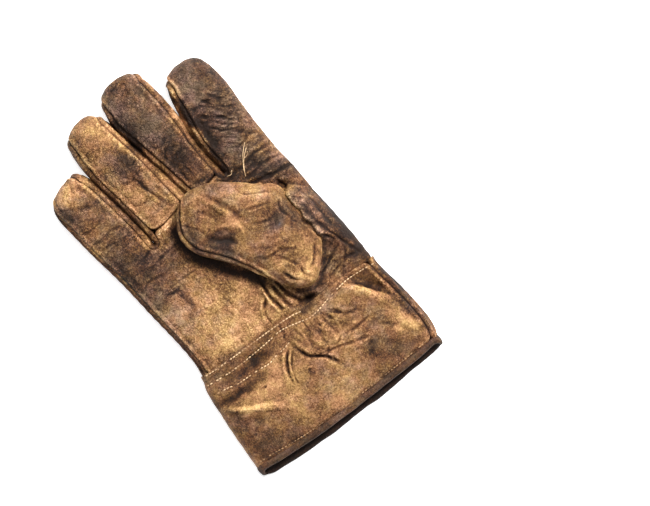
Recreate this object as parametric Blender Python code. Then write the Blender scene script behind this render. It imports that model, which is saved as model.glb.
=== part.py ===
"""A worn leather work glove for the right hand, laid flat with the palm up.

The glove is cut and closed like a gunn-pattern work glove: a palm panel that
carries the fronts of the little and index fingers, a one-piece back, separate
fronts for the ring and middle fingers, three fourchettes between the fingers,
a two-piece thumb folded over the palm, and a cuff with a bound hem.  Every
panel is a leather wall of its own, formed over one hollow, flattened hand.

Units here are millimetres, turned into metres when a mesh is made.
+X points to the index finger's side, +Y to the fingertips, +Z up.
"""

import math

import bpy
import numpy as np
from mathutils.geometry import delaunay_2d_cdt

for old in list(bpy.data.objects):
    bpy.data.objects.remove(old, do_unlink=True)

MM = 0.001
WALL = 1.5                # leather thickness
HALF_GAP = 0.25           # each panel stops this far short of its seam line
SHIFT_X = -1.298          # moves the drawing so that its box is centred
SHIFT_Y = -1.363

TOP_ROUND = 10.0          # the top rounds down over this width at every edge
BOTTOM_ROUND = 5.0        # and the underside rounds up over this one
MID_SHARE = 0.42          # height of the widest line as a share of the height
SEAM_RISE = 48.0          # degrees up the side where the front seams run
SEAM_DROP = -65.0         # degrees down the side where the back seams run
TIP_DROP = -45.0          # where front and back meet under a fingertip

STEP = 6.5                # spacing of points over the upper panels
BACK_STEP = 13.0          # spacing over the flat back
INNER_GAP = 0.62          # least gap between inner points, as a share of their spacing
SEAM_GAP = 0.5            # the same for points close to a seam
EDGE_KEEP = 0.25          # inner points keep this share of the rounding off the outline
OUTLINE_PACE = 0.25       # stations are looked for this often along an outline
KEY_PACE = 0.5            # smoothed keys are kept this often
THUMB_THICK = 14.0        # thickness of the thumb's own tube
THUMB_LIFT = 0.4          # the folded thumb lies this far above the palm

# ---------------------------------------------------------------------------
# Outline of the flattened hand, from the hem on the little finger's side,
# round the four fingers, to the hem on the thumb's side.
# ---------------------------------------------------------------------------
LITTLE_SIDE = [(-70.2, -121), (-69.2, -108), (-68.3, -91), (-67.2, -75), (-65.8, -63),
               (-64.3, -56.5), (-61.6, -52), (-60.7, -42), (-61.6, -24), (-64.3, 4),
               (-66.3, 27), (-68.9, 46), (-71.2, 66), (-72.2, 80)]
LITTLE_TIP = [(-71.7, 87.5), (-69.6, 93.5), (-65, 97), (-54, 100.2), (-48.3, 100.7),
              (-44.4, 98.4), (-41.9, 93.5)]
LITTLE_INNER = [(-40.4, 89), (-39, 80), (-37.4, 69), (-36.0, 59), (-34.8, 48), (-34.4, 40)]
RING_LEFT = [(-33.3, 40), (-34.2, 48), (-35.5, 59), (-36.9, 69), (-38.5, 80), (-39.8, 90),
             (-40, 108)]
RING_TIP = [(-38.7, 116.8), (-36, 121.2), (-30.5, 124.5), (-23.5, 125.6), (-17, 124.5),
            (-12.7, 121), (-10.7, 116)]
RING_RIGHT = [(-9.4, 109), (-7.8, 100), (-5.6, 89), (-3.3, 76), (-1.4, 65), (0.1, 54),
              (0.9, 45)]
MIDDLE_LEFT = [(2.1, 45), (0.7, 54), (-0.8, 65), (-2.7, 76), (-5, 89), (-7.2, 100)]
MIDDLE_TIP = [(-8.5, 111), (-7.3, 118), (-5.2, 126), (-1, 130.7), (7.3, 132.1), (16.5, 131),
              (22.3, 128.5), (24.5, 122.8)]
MIDDLE_RIGHT = [(26.3, 110), (27.4, 97), (27.4, 84), (26.8, 73), (26.7, 60), (27.6, 49)]
INDEX_LEFT = [(28.8, 49), (27.3, 60), (27.4, 73), (28.7, 84), (30.3, 94), (33.3, 105)]
INDEX_TIP = [(35.6, 111.2), (40, 114), (50, 115.3), (57, 113.8), (62, 109.4)]
INDEX_SIDE = [(64, 101), (65.4, 90), (65.2, 77), (64.3, 63), (64.9, 46), (64.9, 34),
              (66.3, 20), (67.3, 1), (68.7, -15), (69.8, -34), (70.1, -52), (70.8, -66),
              (73.2, -83), (74.9, -103), (74, -116), (70.8, -125)]

# Crotch between two fingers: centre and radius of the bend of the outline.
CROTCH_RADIUS = 0.6
CROTCHES = {"little": (-33.8, 34.6), "ring": (1.6, 39.6), "middle": (28.6, 43.2)}

# Seam lines, as degrees round the edge (0 is the widest line, 90 the top, -90
# the underside): where the front panels end and where the back panel ends.
# Between a fourchette's two ends the lines part, and the fourchette fills them.
SEAM_LINE = [
    (-61, -52, SEAM_RISE, SEAM_RISE), (-71.8, 74, SEAM_RISE, SEAM_RISE),
    (-69.6, 93.5, 8, 8), (-64, 97.4, TIP_DROP, TIP_DROP),
    (-54, 100.2, TIP_DROP, TIP_DROP), (-50, 100.7, 0, -55), (-43.6, 97, 56, SEAM_DROP),
    (-40, 87, SEAM_RISE, SEAM_DROP), (-38.6, 114, 46, SEAM_DROP), (-36.4, 120.9, 0, -55),
    (-33.4, 123.2, TIP_DROP, TIP_DROP), (-16, 124, TIP_DROP, TIP_DROP),
    (-13, 121.3, 0, -55), (-10.9, 116.5, 44, SEAM_DROP), (-8, 101, 40, SEAM_DROP),
    (0.2, 54, 62, SEAM_DROP), (1.6, 39, 54, SEAM_DROP), (-7.3, 117.5, 46, SEAM_DROP),
    (-4.6, 127.3, 0, -55), (-2, 129.9, TIP_DROP, TIP_DROP), (18.5, 130.4, TIP_DROP, TIP_DROP),
    (22.1, 128.7, 0, -55), (24.6, 122.5, 44, SEAM_DROP), (27.4, 84, 47, SEAM_DROP),
    (28.6, 42.6, SEAM_RISE, SEAM_DROP), (29.4, 88.5, 62, SEAM_DROP),
    (34, 107.2, 50, SEAM_DROP), (35.8, 111.4, 0, -55), (38.5, 113.4, TIP_DROP, TIP_DROP),
    (57, 113.8, TIP_DROP, TIP_DROP), (64, 101, -60, -60), (70.1, -52, -60, -60),
]
FOURCHETTES = {
    "fourchette_little_ring": ((-54, 100.2), (-33.4, 123.2)),
    "fourchette_ring_middle": ((-16, 124), (-2, 129.9)),
    "fourchette_middle_index": ((18.5, 130.4), (38.5, 113.4)),
}

# Straight seams across the bases of the ring and middle fingers.
RING_BASE = [(-23, 39.8), (-14.8, 41.2), (-8, 42.6)]
MIDDLE_BASE = [(11, 43.8), (18, 43.2)]
RING_BASE_ENDS = ((-33.4, 40.3), (0.8, 44.5))
MIDDLE_BASE_ENDS = ((2.0, 45.5), (27.6, 45.5))

# Wrist seam and hem: height on the drawing at each place across the glove.
WRIST_LEFT, WRIST_RIGHT = (-60.9, -48.5), (70.1, -54.5)
WRIST_LINE = [(-62, -52.2), (-20, -52.8), (2, -54.0), (15, -56.4), (44, -56.6), (71, -58)]
HEM_FRONT = [(-72, -116.6), (-58, -117.8), (-46, -119.5), (-28, -121.4), (0, -122.3),
             (30, -122.4), (76, -121.6)]
HEM_BACK = [(-72, -118.6), (-60, -121.2), (-40, -123.6), (-10, -124.6), (30, -124.8),
            (76, -122.6)]
CUFF_SEAM_IN = 4.6        # the cuff's seam lies this far in from the thumb's side

# The thumb, folded across the palm, seen from above; and where its two halves
# meet, as degrees round its edge.
THUMB_OUTLINE = [(-18.6, 23.5), (-17, 31), (-11.5, 38.6), (-4.3, 44.6), (3.2, 46.1),
                 (12, 45.1), (19.5, 41.8), (31.5, 32.4), (43, 22.4), (50, 17.2),
                 (52.2, 10), (51.6, -2), (52.6, -16), (53.2, -26), (47, -34.6),
                 (39.5, -42.2), (31, -47.6), (23.5, -45.2), (16.4, -38), (7.3, -21.8),
                 (-3, -4.6), (-11, 5.4), (-16.6, 13.4)]
THUMB_SEAM = [(3.2, 46.1, -35), (-4.3, 44.6, 5), (-11.5, 38.6, 42), (-18.6, 23.5, 46),
              (-3, -4.6, 46), (5, -18, 36), (12, -30, 5), (19, -41.5, -30), (31, -47.6, -35),
              (52.6, -16, -35)]
THUMB_HOLE_CENTRE = (34.0, -6.0)
THUMB_HOLE_HALF = (8.0, 17.0)


# ---------------------------------------------------------------------------
# Curves
# ---------------------------------------------------------------------------
def spline(points, closed=False, density=0.5):
    """A centripetal Catmull-Rom curve through the points, finely sampled."""
    pts = [np.array(p, float) for p in points]
    if closed:
        pts = [pts[-1]] + pts + [pts[0], pts[1]]
    else:
        pts = [2 * pts[0] - pts[1]] + pts + [2 * pts[-1] - pts[-2]]
    out = []
    for a, b, c, d in zip(pts, pts[1:], pts[2:], pts[3:]):
        ta = 0.0
        tb = ta + math.sqrt(np.linalg.norm(b - a))
        tc = tb + math.sqrt(np.linalg.norm(c - b))
        td = tc + math.sqrt(np.linalg.norm(d - c))
        count = max(2, int(np.linalg.norm(c - b) / density))
        for t in np.linspace(tb, tc, count, endpoint=False):
            ab = a + (b - a) * (t - ta) / (tb - ta)
            bc = b + (c - b) * (t - tb) / (tc - tb)
            cd = c + (d - c) * (t - tc) / (td - tc)
            abc = ab + (bc - ab) * (t - ta) / (tc - ta)
            bcd = bc + (cd - bc) * (t - tb) / (td - tb)
            out.append(abc + (bcd - abc) * (t - tb) / (tc - tb))
    if not closed:
        out.append(pts[-2])
    return np.array(out)


def crotch_arc(centre, turns=9):
    """The outline's bend at the foot of the gap between two fingers."""
    angles = np.linspace(math.pi, 2 * math.pi, turns)
    return [(centre[0] + CROTCH_RADIUS * math.cos(a), centre[1] + CROTCH_RADIUS * math.sin(a))
            for a in angles]


class Outline:
    """A finely sampled outline with lengths along it and normals into it."""

    def __init__(self, points, closed=False):
        self.points = points
        self.closed = closed
        after = np.roll(points, -1, axis=0) if closed else np.vstack([points[1:], points[-1:]])
        before = np.roll(points, 1, axis=0) if closed else np.vstack([points[:1], points[:-1]])
        tangent = after - before
        tangent /= np.linalg.norm(tangent, axis=1)[:, None]
        self.normals = np.column_stack([tangent[:, 1], -tangent[:, 0]])
        steps = np.linalg.norm(np.diff(points, axis=0), axis=1)
        self.lengths = np.concatenate([[0.0], np.cumsum(steps)])
        self.total = self.lengths[-1]
        if closed:
            self.total += np.linalg.norm(points[0] - points[-1])

    def place(self, x, y):
        """Length along the outline of the sample nearest to (x, y)."""
        near = np.argmin(np.hypot(self.points[:, 0] - x, self.points[:, 1] - y))
        return float(self.lengths[near])

    def at(self, s):
        """Point and inward normal at length s."""
        if self.closed:
            s = s % self.total
        x = np.interp(s, self.lengths, self.points[:, 0])
        y = np.interp(s, self.lengths, self.points[:, 1])
        nx = np.interp(s, self.lengths, self.normals[:, 0])
        ny = np.interp(s, self.lengths, self.normals[:, 1])
        size = math.hypot(nx, ny)
        return np.array([x, y]), np.array([nx / size, ny / size])

    def stations(self, start, end, step, turn=26.0):
        """Lengths from start to end, closer together where the outline bends."""
        places = np.arange(start, end, OUTLINE_PACE)
        picked = [start]
        swept = 0.0
        previous = self.at(start)[1]
        for s in places[1:]:
            normal = self.at(s)[1]
            swept += math.degrees(math.acos(max(-1.0, min(1.0, float(previous @ normal)))))
            previous = normal
            if s - picked[-1] >= step or (swept >= turn and s - picked[-1] > 0.3):
                picked.append(float(s))
                swept = 0.0
        if end - picked[-1] < 0.4 * step and len(picked) > 1:
            picked.pop()
        return picked + [end]

    def distance(self, x, y):
        """Distance from each point of the arrays x, y to the outline."""
        out = np.empty(len(x))
        for i, (px, py) in enumerate(zip(x, y)):
            out[i] = np.sqrt(np.min((self.points[:, 0] - px) ** 2
                                    + (self.points[:, 1] - py) ** 2))
        return out


HAND = Outline(spline(
    LITTLE_SIDE + LITTLE_TIP + LITTLE_INNER + crotch_arc(CROTCHES["little"])
    + RING_LEFT + RING_TIP + RING_RIGHT + crotch_arc(CROTCHES["ring"])
    + MIDDLE_LEFT + MIDDLE_TIP + MIDDLE_RIGHT + crotch_arc(CROTCHES["middle"])
    + INDEX_LEFT + INDEX_TIP + INDEX_SIDE))
THUMB = Outline(spline(THUMB_OUTLINE, closed=True), closed=True)


def smoothed(keys, total, window=4.0, wrap=False):
    """Keys (s, value) joined by straight lines, with the corners rounded."""
    keys = sorted(keys)
    grid = np.arange(0.0, total + KEY_PACE, KEY_PACE)
    places = [k[0] for k in keys]
    values = [k[1] for k in keys]
    if wrap:
        places = [places[-1] - total] + places + [places[0] + total]
        values = [values[-1]] + values + [values[0]]
    line = np.interp(grid, places, values)
    count = int(window / KEY_PACE)
    padded = np.concatenate([line[:count][::-1], line, line[-count:][::-1]])
    kernel = np.ones(2 * count + 1) / (2 * count + 1)
    return grid, np.convolve(padded, kernel, mode="valid")


FRONT_EDGE = smoothed([(HAND.place(x, y), front) for x, y, front, back in SEAM_LINE],
                      HAND.total, 2.0)
BACK_EDGE = smoothed([(HAND.place(x, y), back) for x, y, front, back in SEAM_LINE],
                     HAND.total, 2.0)
THUMB_EDGE = smoothed([(THUMB.place(x, y), angle) for x, y, angle in THUMB_SEAM],
                      THUMB.total, 4.0, wrap=True)


# ---------------------------------------------------------------------------
# The form: height of the flattened glove, and the section at its edge
# ---------------------------------------------------------------------------
def bump(x, y, cx, cy, wide, long, lean=0.0):
    """A soft mound of height 1, wide by long, leaning by degrees."""
    a = math.radians(lean)
    u = (x - cx) * math.cos(a) + (y - cy) * math.sin(a)
    v = -(x - cx) * math.sin(a) + (y - cy) * math.cos(a)
    return np.exp(-(u / wide) ** 2 - (v / long) ** 2)


def fullness(x, y):
    """Height of the glove's top, away from its edges, at (x, y)."""
    height = np.interp(y, [-125, -112, -95, -75, -56, -40, -10, 30, 60, 90, 112, 132],
                       [9.5, 11.5, 13.0, 12.0, 9.5, 11.0, 12.5, 13.0, 15.5, 16.5, 16.0, 13.5])
    height = height + 5.0 * bump(x, y, 62, -14, 6.5, 27)
    height = height + 2.0 * bump(x, y, -30, -15, 26, 22)
    height = height - 3.2 * bump(x, y, 59, -70, 5.5, 15, 32)
    height = height + 1.6 * bump(x, y, 47, -70, 8, 20, 38)
    height = height - 1.5 * bump(x, y, -38, -67, 22, 5, -4)
    return height


def edge_height(height, angle):
    """Height of the edge's section at an angle round it."""
    middle = MID_SHARE * height
    rise = math.sin(math.radians(angle))
    if angle >= 0:
        return middle + (height - middle) * rise
    return middle * (1 + rise)


def edge_normal(height, angle):
    """Outward and upward parts of the section's normal at an angle."""
    middle = MID_SHARE * height
    tall, width = (height - middle, TOP_ROUND) if angle >= 0 else (middle, BOTTOM_ROUND)
    outward = tall * math.cos(math.radians(angle))
    upward = width * math.sin(math.radians(angle))
    size = math.hypot(outward, upward)
    return outward / size, upward / size


def edge_inset(angle):
    """How far in from the widest line the section lies at an angle."""
    width = TOP_ROUND if angle >= 0 else BOTTOM_ROUND
    return width * (1 - math.cos(math.radians(angle)))


def edge_run(angle_from, angle_to):
    """Length of the section between two angles, for a middling height."""
    angles = np.linspace(angle_from, angle_to, 25)
    across = [edge_inset(a) for a in angles]
    up = [edge_height(15.0, a) for a in angles]
    return float(np.sum(np.hypot(np.diff(across), np.diff(up))))


def top_at(height, inset):
    """Height of the upper surface where it is inset from the outline."""
    middle = MID_SHARE * height
    share = np.clip(1 - inset / TOP_ROUND, 0.0, 1.0)
    return middle + (height - middle) * np.sqrt(1 - share ** 2)


def surface_normals(height_at, x, y, step=0.2):
    """Upward normals of a height function at the points of the arrays x, y."""
    slope_x = (height_at(x + step, y) - height_at(x - step, y)) / (2 * step)
    slope_y = (height_at(x, y + step) - height_at(x, y - step)) / (2 * step)
    normals = np.column_stack([-slope_x, -slope_y, np.ones(len(x))])
    return normals / np.linalg.norm(normals, axis=1)[:, None]


class Form:
    """Where a point of the flat cut goes when the panel is formed."""

    def __init__(self, outline, floor, height, upper):
        self.outline = outline
        self.floor = floor
        self.height = height
        self.upper = upper
        self.turn_width = TOP_ROUND if upper else BOTTOM_ROUND

    def edge(self, s, angle):
        """Cut place, formed place and normal of the edge's section at length s."""
        point, inward = self.outline.at(s)
        formed = point + inward * edge_inset(angle)
        x, y = np.array([formed[0]]), np.array([formed[1]])
        height = self.height(x, y)[0]
        z = self.floor(x, y)[0] + edge_height(height, angle)
        outward, upward = edge_normal(height, angle)
        run = edge_run(90, angle) if self.upper else edge_run(-90, angle)
        cut = point + inward * (self.turn_width - run)
        normal = (-inward[0] * outward, -inward[1] * outward, upward)
        return tuple(cut), (formed[0], formed[1], z), normal

    def height_inside(self, x, y):
        """Formed heights of points well inside the outline."""
        if not self.upper:
            return self.floor(x, y)
        inset = self.outline.distance(x, y)
        return self.floor(x, y) + top_at(self.height(x, y), inset)

    def inside(self, x, y):
        """Formed places and outward normals of points well inside the outline."""
        places = np.column_stack([x, y, self.height_inside(x, y)])
        normals = surface_normals(self.height_inside, x, y)
        return places, normals if self.upper else -normals


def ground(x, y):
    return np.zeros(len(x))


def palm_top(x, y):
    return fullness(x, y) + THUMB_LIFT


def thumb_height(x, y):
    """The thumb's tube is full at the middle and sinks to its root."""
    thin = np.interp(x, [-20, 0, 30, 45, 54], [0.5, 0.0, 0.0, 2.0, 5.0])
    return THUMB_THICK - thin


FRONT_FORM = Form(HAND, ground, fullness, upper=True)
BACK_FORM = Form(HAND, ground, fullness, upper=False)
THUMB_UPPER_FORM = Form(THUMB, palm_top, thumb_height, upper=True)
THUMB_LOWER_FORM = Form(THUMB, palm_top, thumb_height, upper=False)


# ---------------------------------------------------------------------------
# Panels
# ---------------------------------------------------------------------------
def inside_polygon(points, polygon):
    """Which of the points lie inside a closed polygon."""
    x, y = points[:, 0], points[:, 1]
    inside = np.zeros(len(points), bool)
    for (ax, ay), (bx, by) in zip(polygon, np.roll(polygon, -1, axis=0)):
        crosses = (ay > y) != (by > y)
        if not crosses.any():
            continue
        at = ax + (y - ay) / (by - ay if by != ay else 1e-9) * (bx - ax)
        inside ^= crosses & (x < at)
    return inside


class Panel:
    """A leather panel: its cut on the flat and its formed points."""

    def __init__(self, form, step):
        self.form = form
        self.step = step
        self.cut = []
        self.formed = []
        self.normals = []
        self.loops = []

    def add(self, cut, formed, normal):
        self.cut.append(tuple(cut))
        self.formed.append(tuple(formed))
        self.normals.append(tuple(normal))
        return len(self.cut) - 1

    def add_surface(self, points):
        """Adds points given from above, on the form's surface."""
        points = np.array(points, float)
        places, normals = self.form.inside(points[:, 0], points[:, 1])
        return [self.add(p, q, n) for p, q, n in zip(points, places, normals)]

    def add_edge(self, stations, angle_at):
        """Adds points round the form's edge, at an angle for each station."""
        return [self.add(*self.form.edge(s, angle_at(s))) for s in stations]

    def fill(self, rows=()):
        """Scatters points inside the outer loop, clear of the holes."""
        outer = np.array([self.cut[i] for i in self.loops[0]])
        fixed = np.array(self.cut)
        kept = []

        def try_points(cuts, places, normals, clear):
            for cut, place, normal in zip(cuts, places, normals):
                near = np.min(np.hypot(fixed[:, 0] - cut[0], fixed[:, 1] - cut[1]))
                if kept:
                    others = np.array(kept)
                    near = min(near, np.min(np.hypot(others[:, 0] - cut[0],
                                                     others[:, 1] - cut[1])))
                if near < clear:
                    continue
                if not inside_polygon(np.array([cut]), outer)[0]:
                    continue
                kept.append(cut)
                self.add(cut, place, normal)

        for station, angle in rows:
            cut, place, normal = self.form.edge(station, angle)
            try_points([cut], [place], [normal], SEAM_GAP * STEP)
        low, high = outer.min(axis=0), outer.max(axis=0)
        line = self.step * math.sqrt(3) / 2
        scattered = [(low[0] + self.step * (i + 0.5 * (j % 2)), low[1] + line * j)
                     for j in range(int((high[1] - low[1]) / line) + 1)
                     for i in range(int((high[0] - low[0]) / self.step) + 2)]
        scattered = np.array(scattered)
        inset = self.form.outline.distance(scattered[:, 0], scattered[:, 1])
        on_drawing = inside_polygon(scattered, self.form.outline.points)
        keep = on_drawing & (inset > EDGE_KEEP * self.form.turn_width)
        for hole in self.loops[1:]:
            keep &= ~inside_polygon(scattered, np.array([self.cut[i] for i in hole]))
        scattered = scattered[keep]
        places, normals = self.form.inside(scattered[:, 0], scattered[:, 1])
        try_points([tuple(p) for p in scattered], places, normals, INNER_GAP * self.step)

    def faces(self):
        """Triangles between all points, inside the outer loop and not in holes."""
        edges = [(a, b) for loop in self.loops for a, b in zip(loop, loop[1:] + loop[:1])]
        flat = [(float(x), float(y)) for x, y in self.cut]
        result = delaunay_2d_cdt(flat, edges, [], 0, 1e-6)
        origin = [ids[0] if ids else None for ids in result[3]]
        triangles = [[origin[i] for i in face] for face in result[2]]
        triangles = [t for t in triangles if None not in t]
        cuts = np.array(self.cut)
        centres = np.array([cuts[t].mean(axis=0) for t in triangles])
        keep = inside_polygon(centres, cuts[self.loops[0]])
        for hole in self.loops[1:]:
            keep &= ~inside_polygon(centres, cuts[hole])
        return [tuple(t) for t, k in zip(triangles, keep) if k]


def leather(name, colour, roughness):
    """A plain leather material."""
    material = bpy.data.materials.new(name)
    material.use_nodes = True
    shader = material.node_tree.nodes["Principled BSDF"]
    shader.inputs["Base Color"].default_value = (*colour, 1.0)
    shader.inputs["Roughness"].default_value = roughness
    shader.inputs["Metallic"].default_value = 0.0
    return material


def make_object(name, points, faces, material):
    """An object of points in millimetres on the drawing."""
    mesh = bpy.data.meshes.new(name)
    places = [((x + SHIFT_X) * MM, (y + SHIFT_Y) * MM, z * MM) for x, y, z in points]
    mesh.from_pydata(places, [], faces)
    mesh.materials.append(material)
    mesh.shade_smooth()
    mesh.set_sharp_from_angle(angle=math.radians(50))
    bpy.context.scene.collection.objects.link(bpy.data.objects.new(name, mesh))


def build_wall(name, points, normals, faces, material):
    """A leather wall: its outer face, the same face set in by the wall, and rims."""
    used = sorted({i for face in faces for i in face})
    renumber = {old: new for new, old in enumerate(used)}
    outer = np.array(points, float)[used]
    normals = np.array(normals, float)[used]
    faces = [tuple(renumber[i] for i in face) for face in faces]
    turned = sum(float(np.cross(outer[f[1]] - outer[f[0]], outer[f[2]] - outer[f[0]])
                       @ normals[f[0]]) for f in faces)
    if turned < 0:
        faces = [face[::-1] for face in faces]
    count = len(outer)
    inner = outer - normals * WALL
    sides = {(a, b) for face in faces for a, b in zip(face, face[1:] + face[:1])}
    rims = [(b, a, a + count, b + count) for a, b in sorted(sides) if (b, a) not in sides]
    inward = [tuple(i + count for i in reversed(face)) for face in faces]
    make_object(name, np.vstack([outer, inner]), faces + inward + rims, material)


def edge_reader(edge, offset=0.0):
    """Angle along an edge line, moved by an offset in degrees."""
    grid, values = edge
    return lambda s: float(np.interp(s % grid[-1], grid, values)) + offset


def gap_degrees(width):
    """Half the seam's gap, as degrees round a bend of this width."""
    return math.degrees(HALF_GAP / width)


FRONT_GAP = gap_degrees(TOP_ROUND * 0.9)
UNDER_GAP = gap_degrees(BOTTOM_ROUND)


def seam_ends(ends):
    return [HAND.place(x, y) for x, y in ends]


def all_stations():
    """Lengths along the hand's outline that panels on both sides of a seam share."""
    ends = [WRIST_LEFT, WRIST_RIGHT, *RING_BASE_ENDS, *MIDDLE_BASE_ENDS]
    for pair in FOURCHETTES.values():
        ends += pair
    joints = sorted(seam_ends(ends))
    shared = []
    for start, end in zip(joints, joints[1:]):
        shared += HAND.stations(start, end, STEP)[:-1]
    return shared + [joints[-1]]


STATIONS = all_stations()


def stations_between(start, end, trim=0.0):
    """The shared stations from start to end, trimmed by half a gap at both ends."""
    inner = [s for s in STATIONS if start + 0.5 < s < end - 0.5]
    return [start + trim] + inner + [end - trim]


def wrap_rows(start, end, angles, limit):
    """Points in rows round the edge, above the angle where a front panel ends."""
    return [(s, a) for a in angles for s in stations_between(start, end)
            if a > limit(s) + 14]


def front_edge_of_panel(panel, start, end, trim=0.0):
    """The front panels' edge from one place on the hand's outline to another."""
    return panel.add_edge(stations_between(start, end, trim),
                          edge_reader(FRONT_EDGE, FRONT_GAP))


def base_line(points, away):
    """Points of a seam across a finger's base, moved by half the gap."""
    return [(x, y + away) for x, y in points]


def make_finger_front(name, base, ends, material):
    """The front of the ring or middle finger, wrapped over its tip."""
    panel = Panel(FRONT_FORM, STEP)
    start, end = seam_ends(ends)
    loop = front_edge_of_panel(panel, start, end, HALF_GAP)
    loop += panel.add_surface(base_line(base[::-1], HALF_GAP))
    panel.loops = [loop]
    limit = edge_reader(FRONT_EDGE, FRONT_GAP)
    panel.fill(wrap_rows(start, end, (42, 18, -10), limit))
    build_wall(name, panel.formed, panel.normals, panel.faces(), material)


LITTLE_EDGE = spline(LITTLE_SIDE)
THUMB_SIDE_EDGE = spline(INDEX_SIDE)


def side_x(line, y):
    """Where the outline of a side lies at a height on the drawing."""
    order = np.argsort(line[:, 1])
    return float(np.interp(y, line[order, 1], line[order, 0]))


def wrist_line(x):
    return np.interp(x, [p[0] for p in WRIST_LINE], [p[1] for p in WRIST_LINE])


def wrist_section(panel, left_side, angles):
    """A panel's edge at the wrist seam, where it rounds a side of the glove."""
    line, inward = (LITTLE_EDGE, 1.0) if left_side else (THUMB_SIDE_EDGE, -1.0)
    start = -90 if not panel.form.upper else 90
    added = []
    for angle in angles:
        y = float(wrist_line(-62 if left_side else 70)) + HALF_GAP
        x = side_x(line, y)
        place = x + inward * edge_inset(angle)
        height = float(fullness(np.array([place]), np.array([y]))[0])
        cut = x + inward * (panel.form.turn_width - edge_run(start, angle))
        outward, upward = edge_normal(height, angle)
        added.append(panel.add((cut, y), (place, y, edge_height(height, angle)),
                               (-inward * outward, 0.0, upward)))
    return added


def thumb_hole(panel):
    """The opening where the thumb's tube leaves the palm."""
    turns = np.linspace(0, 2 * math.pi, 14, endpoint=False)
    return panel.add_surface([(THUMB_HOLE_CENTRE[0] + THUMB_HOLE_HALF[0] * math.cos(a),
                               THUMB_HOLE_CENTRE[1] + THUMB_HOLE_HALF[1] * math.sin(a))
                              for a in turns])


def make_palm(material):
    """The palm with the fronts of the little and index fingers."""
    panel = Panel(FRONT_FORM, STEP)
    left, right = HAND.place(*WRIST_LEFT), HAND.place(*WRIST_RIGHT)
    ring_left, ring_right = seam_ends(RING_BASE_ENDS)
    middle_left, middle_right = seam_ends(MIDDLE_BASE_ENDS)
    loop = front_edge_of_panel(panel, left, ring_left - HALF_GAP)
    loop += panel.add_surface(base_line(RING_BASE, -HALF_GAP))
    loop += front_edge_of_panel(panel, ring_right + HALF_GAP, middle_left - HALF_GAP)
    loop += panel.add_surface(base_line(MIDDLE_BASE, -HALF_GAP))
    loop += front_edge_of_panel(panel, middle_right + HALF_GAP, right)
    limit = edge_reader(FRONT_EDGE, FRONT_GAP)
    loop += wrist_section(panel, False, (limit(right), -30, 0, 30, 58))
    loop += panel.add_surface([(x, wrist_line(x) + HALF_GAP)
                               for x in np.linspace(60, -50, 18)])
    loop += wrist_section(panel, True, (64, limit(left)))
    panel.loops = [loop, thumb_hole(panel)]
    panel.fill(wrap_rows(left, right, (66, 42, 18, -10, -34), limit))
    build_wall("palm", panel.formed, panel.normals, panel.faces(), material)


def make_back(material):
    """The back: flat below, turned up along the little finger's side."""
    panel = Panel(BACK_FORM, BACK_STEP)
    left, right = HAND.place(*WRIST_LEFT), HAND.place(*WRIST_RIGHT)
    angle = edge_reader(BACK_EDGE, -UNDER_GAP)
    loop = panel.add_edge(stations_between(left, right), angle)
    loop += wrist_section(panel, False, (angle(right), -80))
    loop += panel.add_surface([(x, wrist_line(x) + HALF_GAP)
                               for x in np.linspace(64, -55, 11)])
    loop += wrist_section(panel, True, (-76, -50, -25, 0, 25, angle(left)))
    panel.loops = [loop]
    rows = [(s, a) for a in (25, 0, -25, -50, -78) for s in stations_between(left, right)
            if a < angle(s) - 10]
    panel.fill(rows)
    build_wall("back", panel.formed, panel.normals, panel.faces(), material)


def make_fourchette(name, ends, material, across=5):
    """A strip between two fingers, pointed at both ends."""
    start, end = seam_ends(ends)
    front = edge_reader(FRONT_EDGE, -FRONT_GAP)
    back = edge_reader(BACK_EDGE, UNDER_GAP)
    stations = [s for s in stations_between(start, end) if front(s) - back(s) > 12]
    section = [FRONT_FORM.edge(s, float(a))[1:] for s in stations
               for a in np.linspace(front(s), back(s), across + 1)]
    row = across + 1
    faces = [(i * row + j, i * row + j + 1, (i + 1) * row + j + 1, (i + 1) * row + j)
             for i in range(len(stations) - 1) for j in range(across)]
    for s, column in ((start + 1.0, 0), (end - 1.0, len(stations) - 1)):
        section.append(FRONT_FORM.edge(s, 0.5 * (front(s) + back(s)))[1:])
        tip = len(section) - 1
        for j in range(across):
            a, b = column * row + j, column * row + j + 1
            faces.append((tip, b, a) if column == 0 else (tip, a, b))
    points, normals = zip(*section)
    build_wall(name, points, normals, faces, material)


def make_thumb_half(name, upper, material):
    """The upper or lower half of the folded thumb's tube."""
    form = THUMB_UPPER_FORM if upper else THUMB_LOWER_FORM
    panel = Panel(form, STEP)
    side = UNDER_GAP if upper else -UNDER_GAP
    angle = edge_reader(THUMB_EDGE, side)
    stations = THUMB.stations(0.0, THUMB.total, STEP)[:-1]
    panel.loops = [panel.add_edge(stations, angle)]
    if upper:
        rows = [(s, a) for a in (42, 18, -10) for s in stations if a > angle(s) + 14]
    else:
        panel.loops.append(thumb_hole(panel))
        rows = [(s, a) for a in (20, -5, -32, -62) for s in stations if a < angle(s) - 14]
    panel.fill(rows)
    build_wall(name, panel.formed, panel.normals, panel.faces(), material)


# ---------------------------------------------------------------------------
# Cuff and its bound hem
# ---------------------------------------------------------------------------
CUFF_ROWS = 11
FRONT_COLUMNS = 17
BACK_COLUMNS = 8
LEFT_ANGLES = (56, 34, 10, -16, -44, -72)
RIGHT_ANGLES = (-72, -44, -16, 8, 30)
CUFF_LEFT, CUFF_RIGHT = -66.0, 72.0      # about where its sides are, to read the hem lines


def line_y(line, x):
    return float(np.interp(x, [p[0] for p in line], [p[1] for p in line]))


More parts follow.
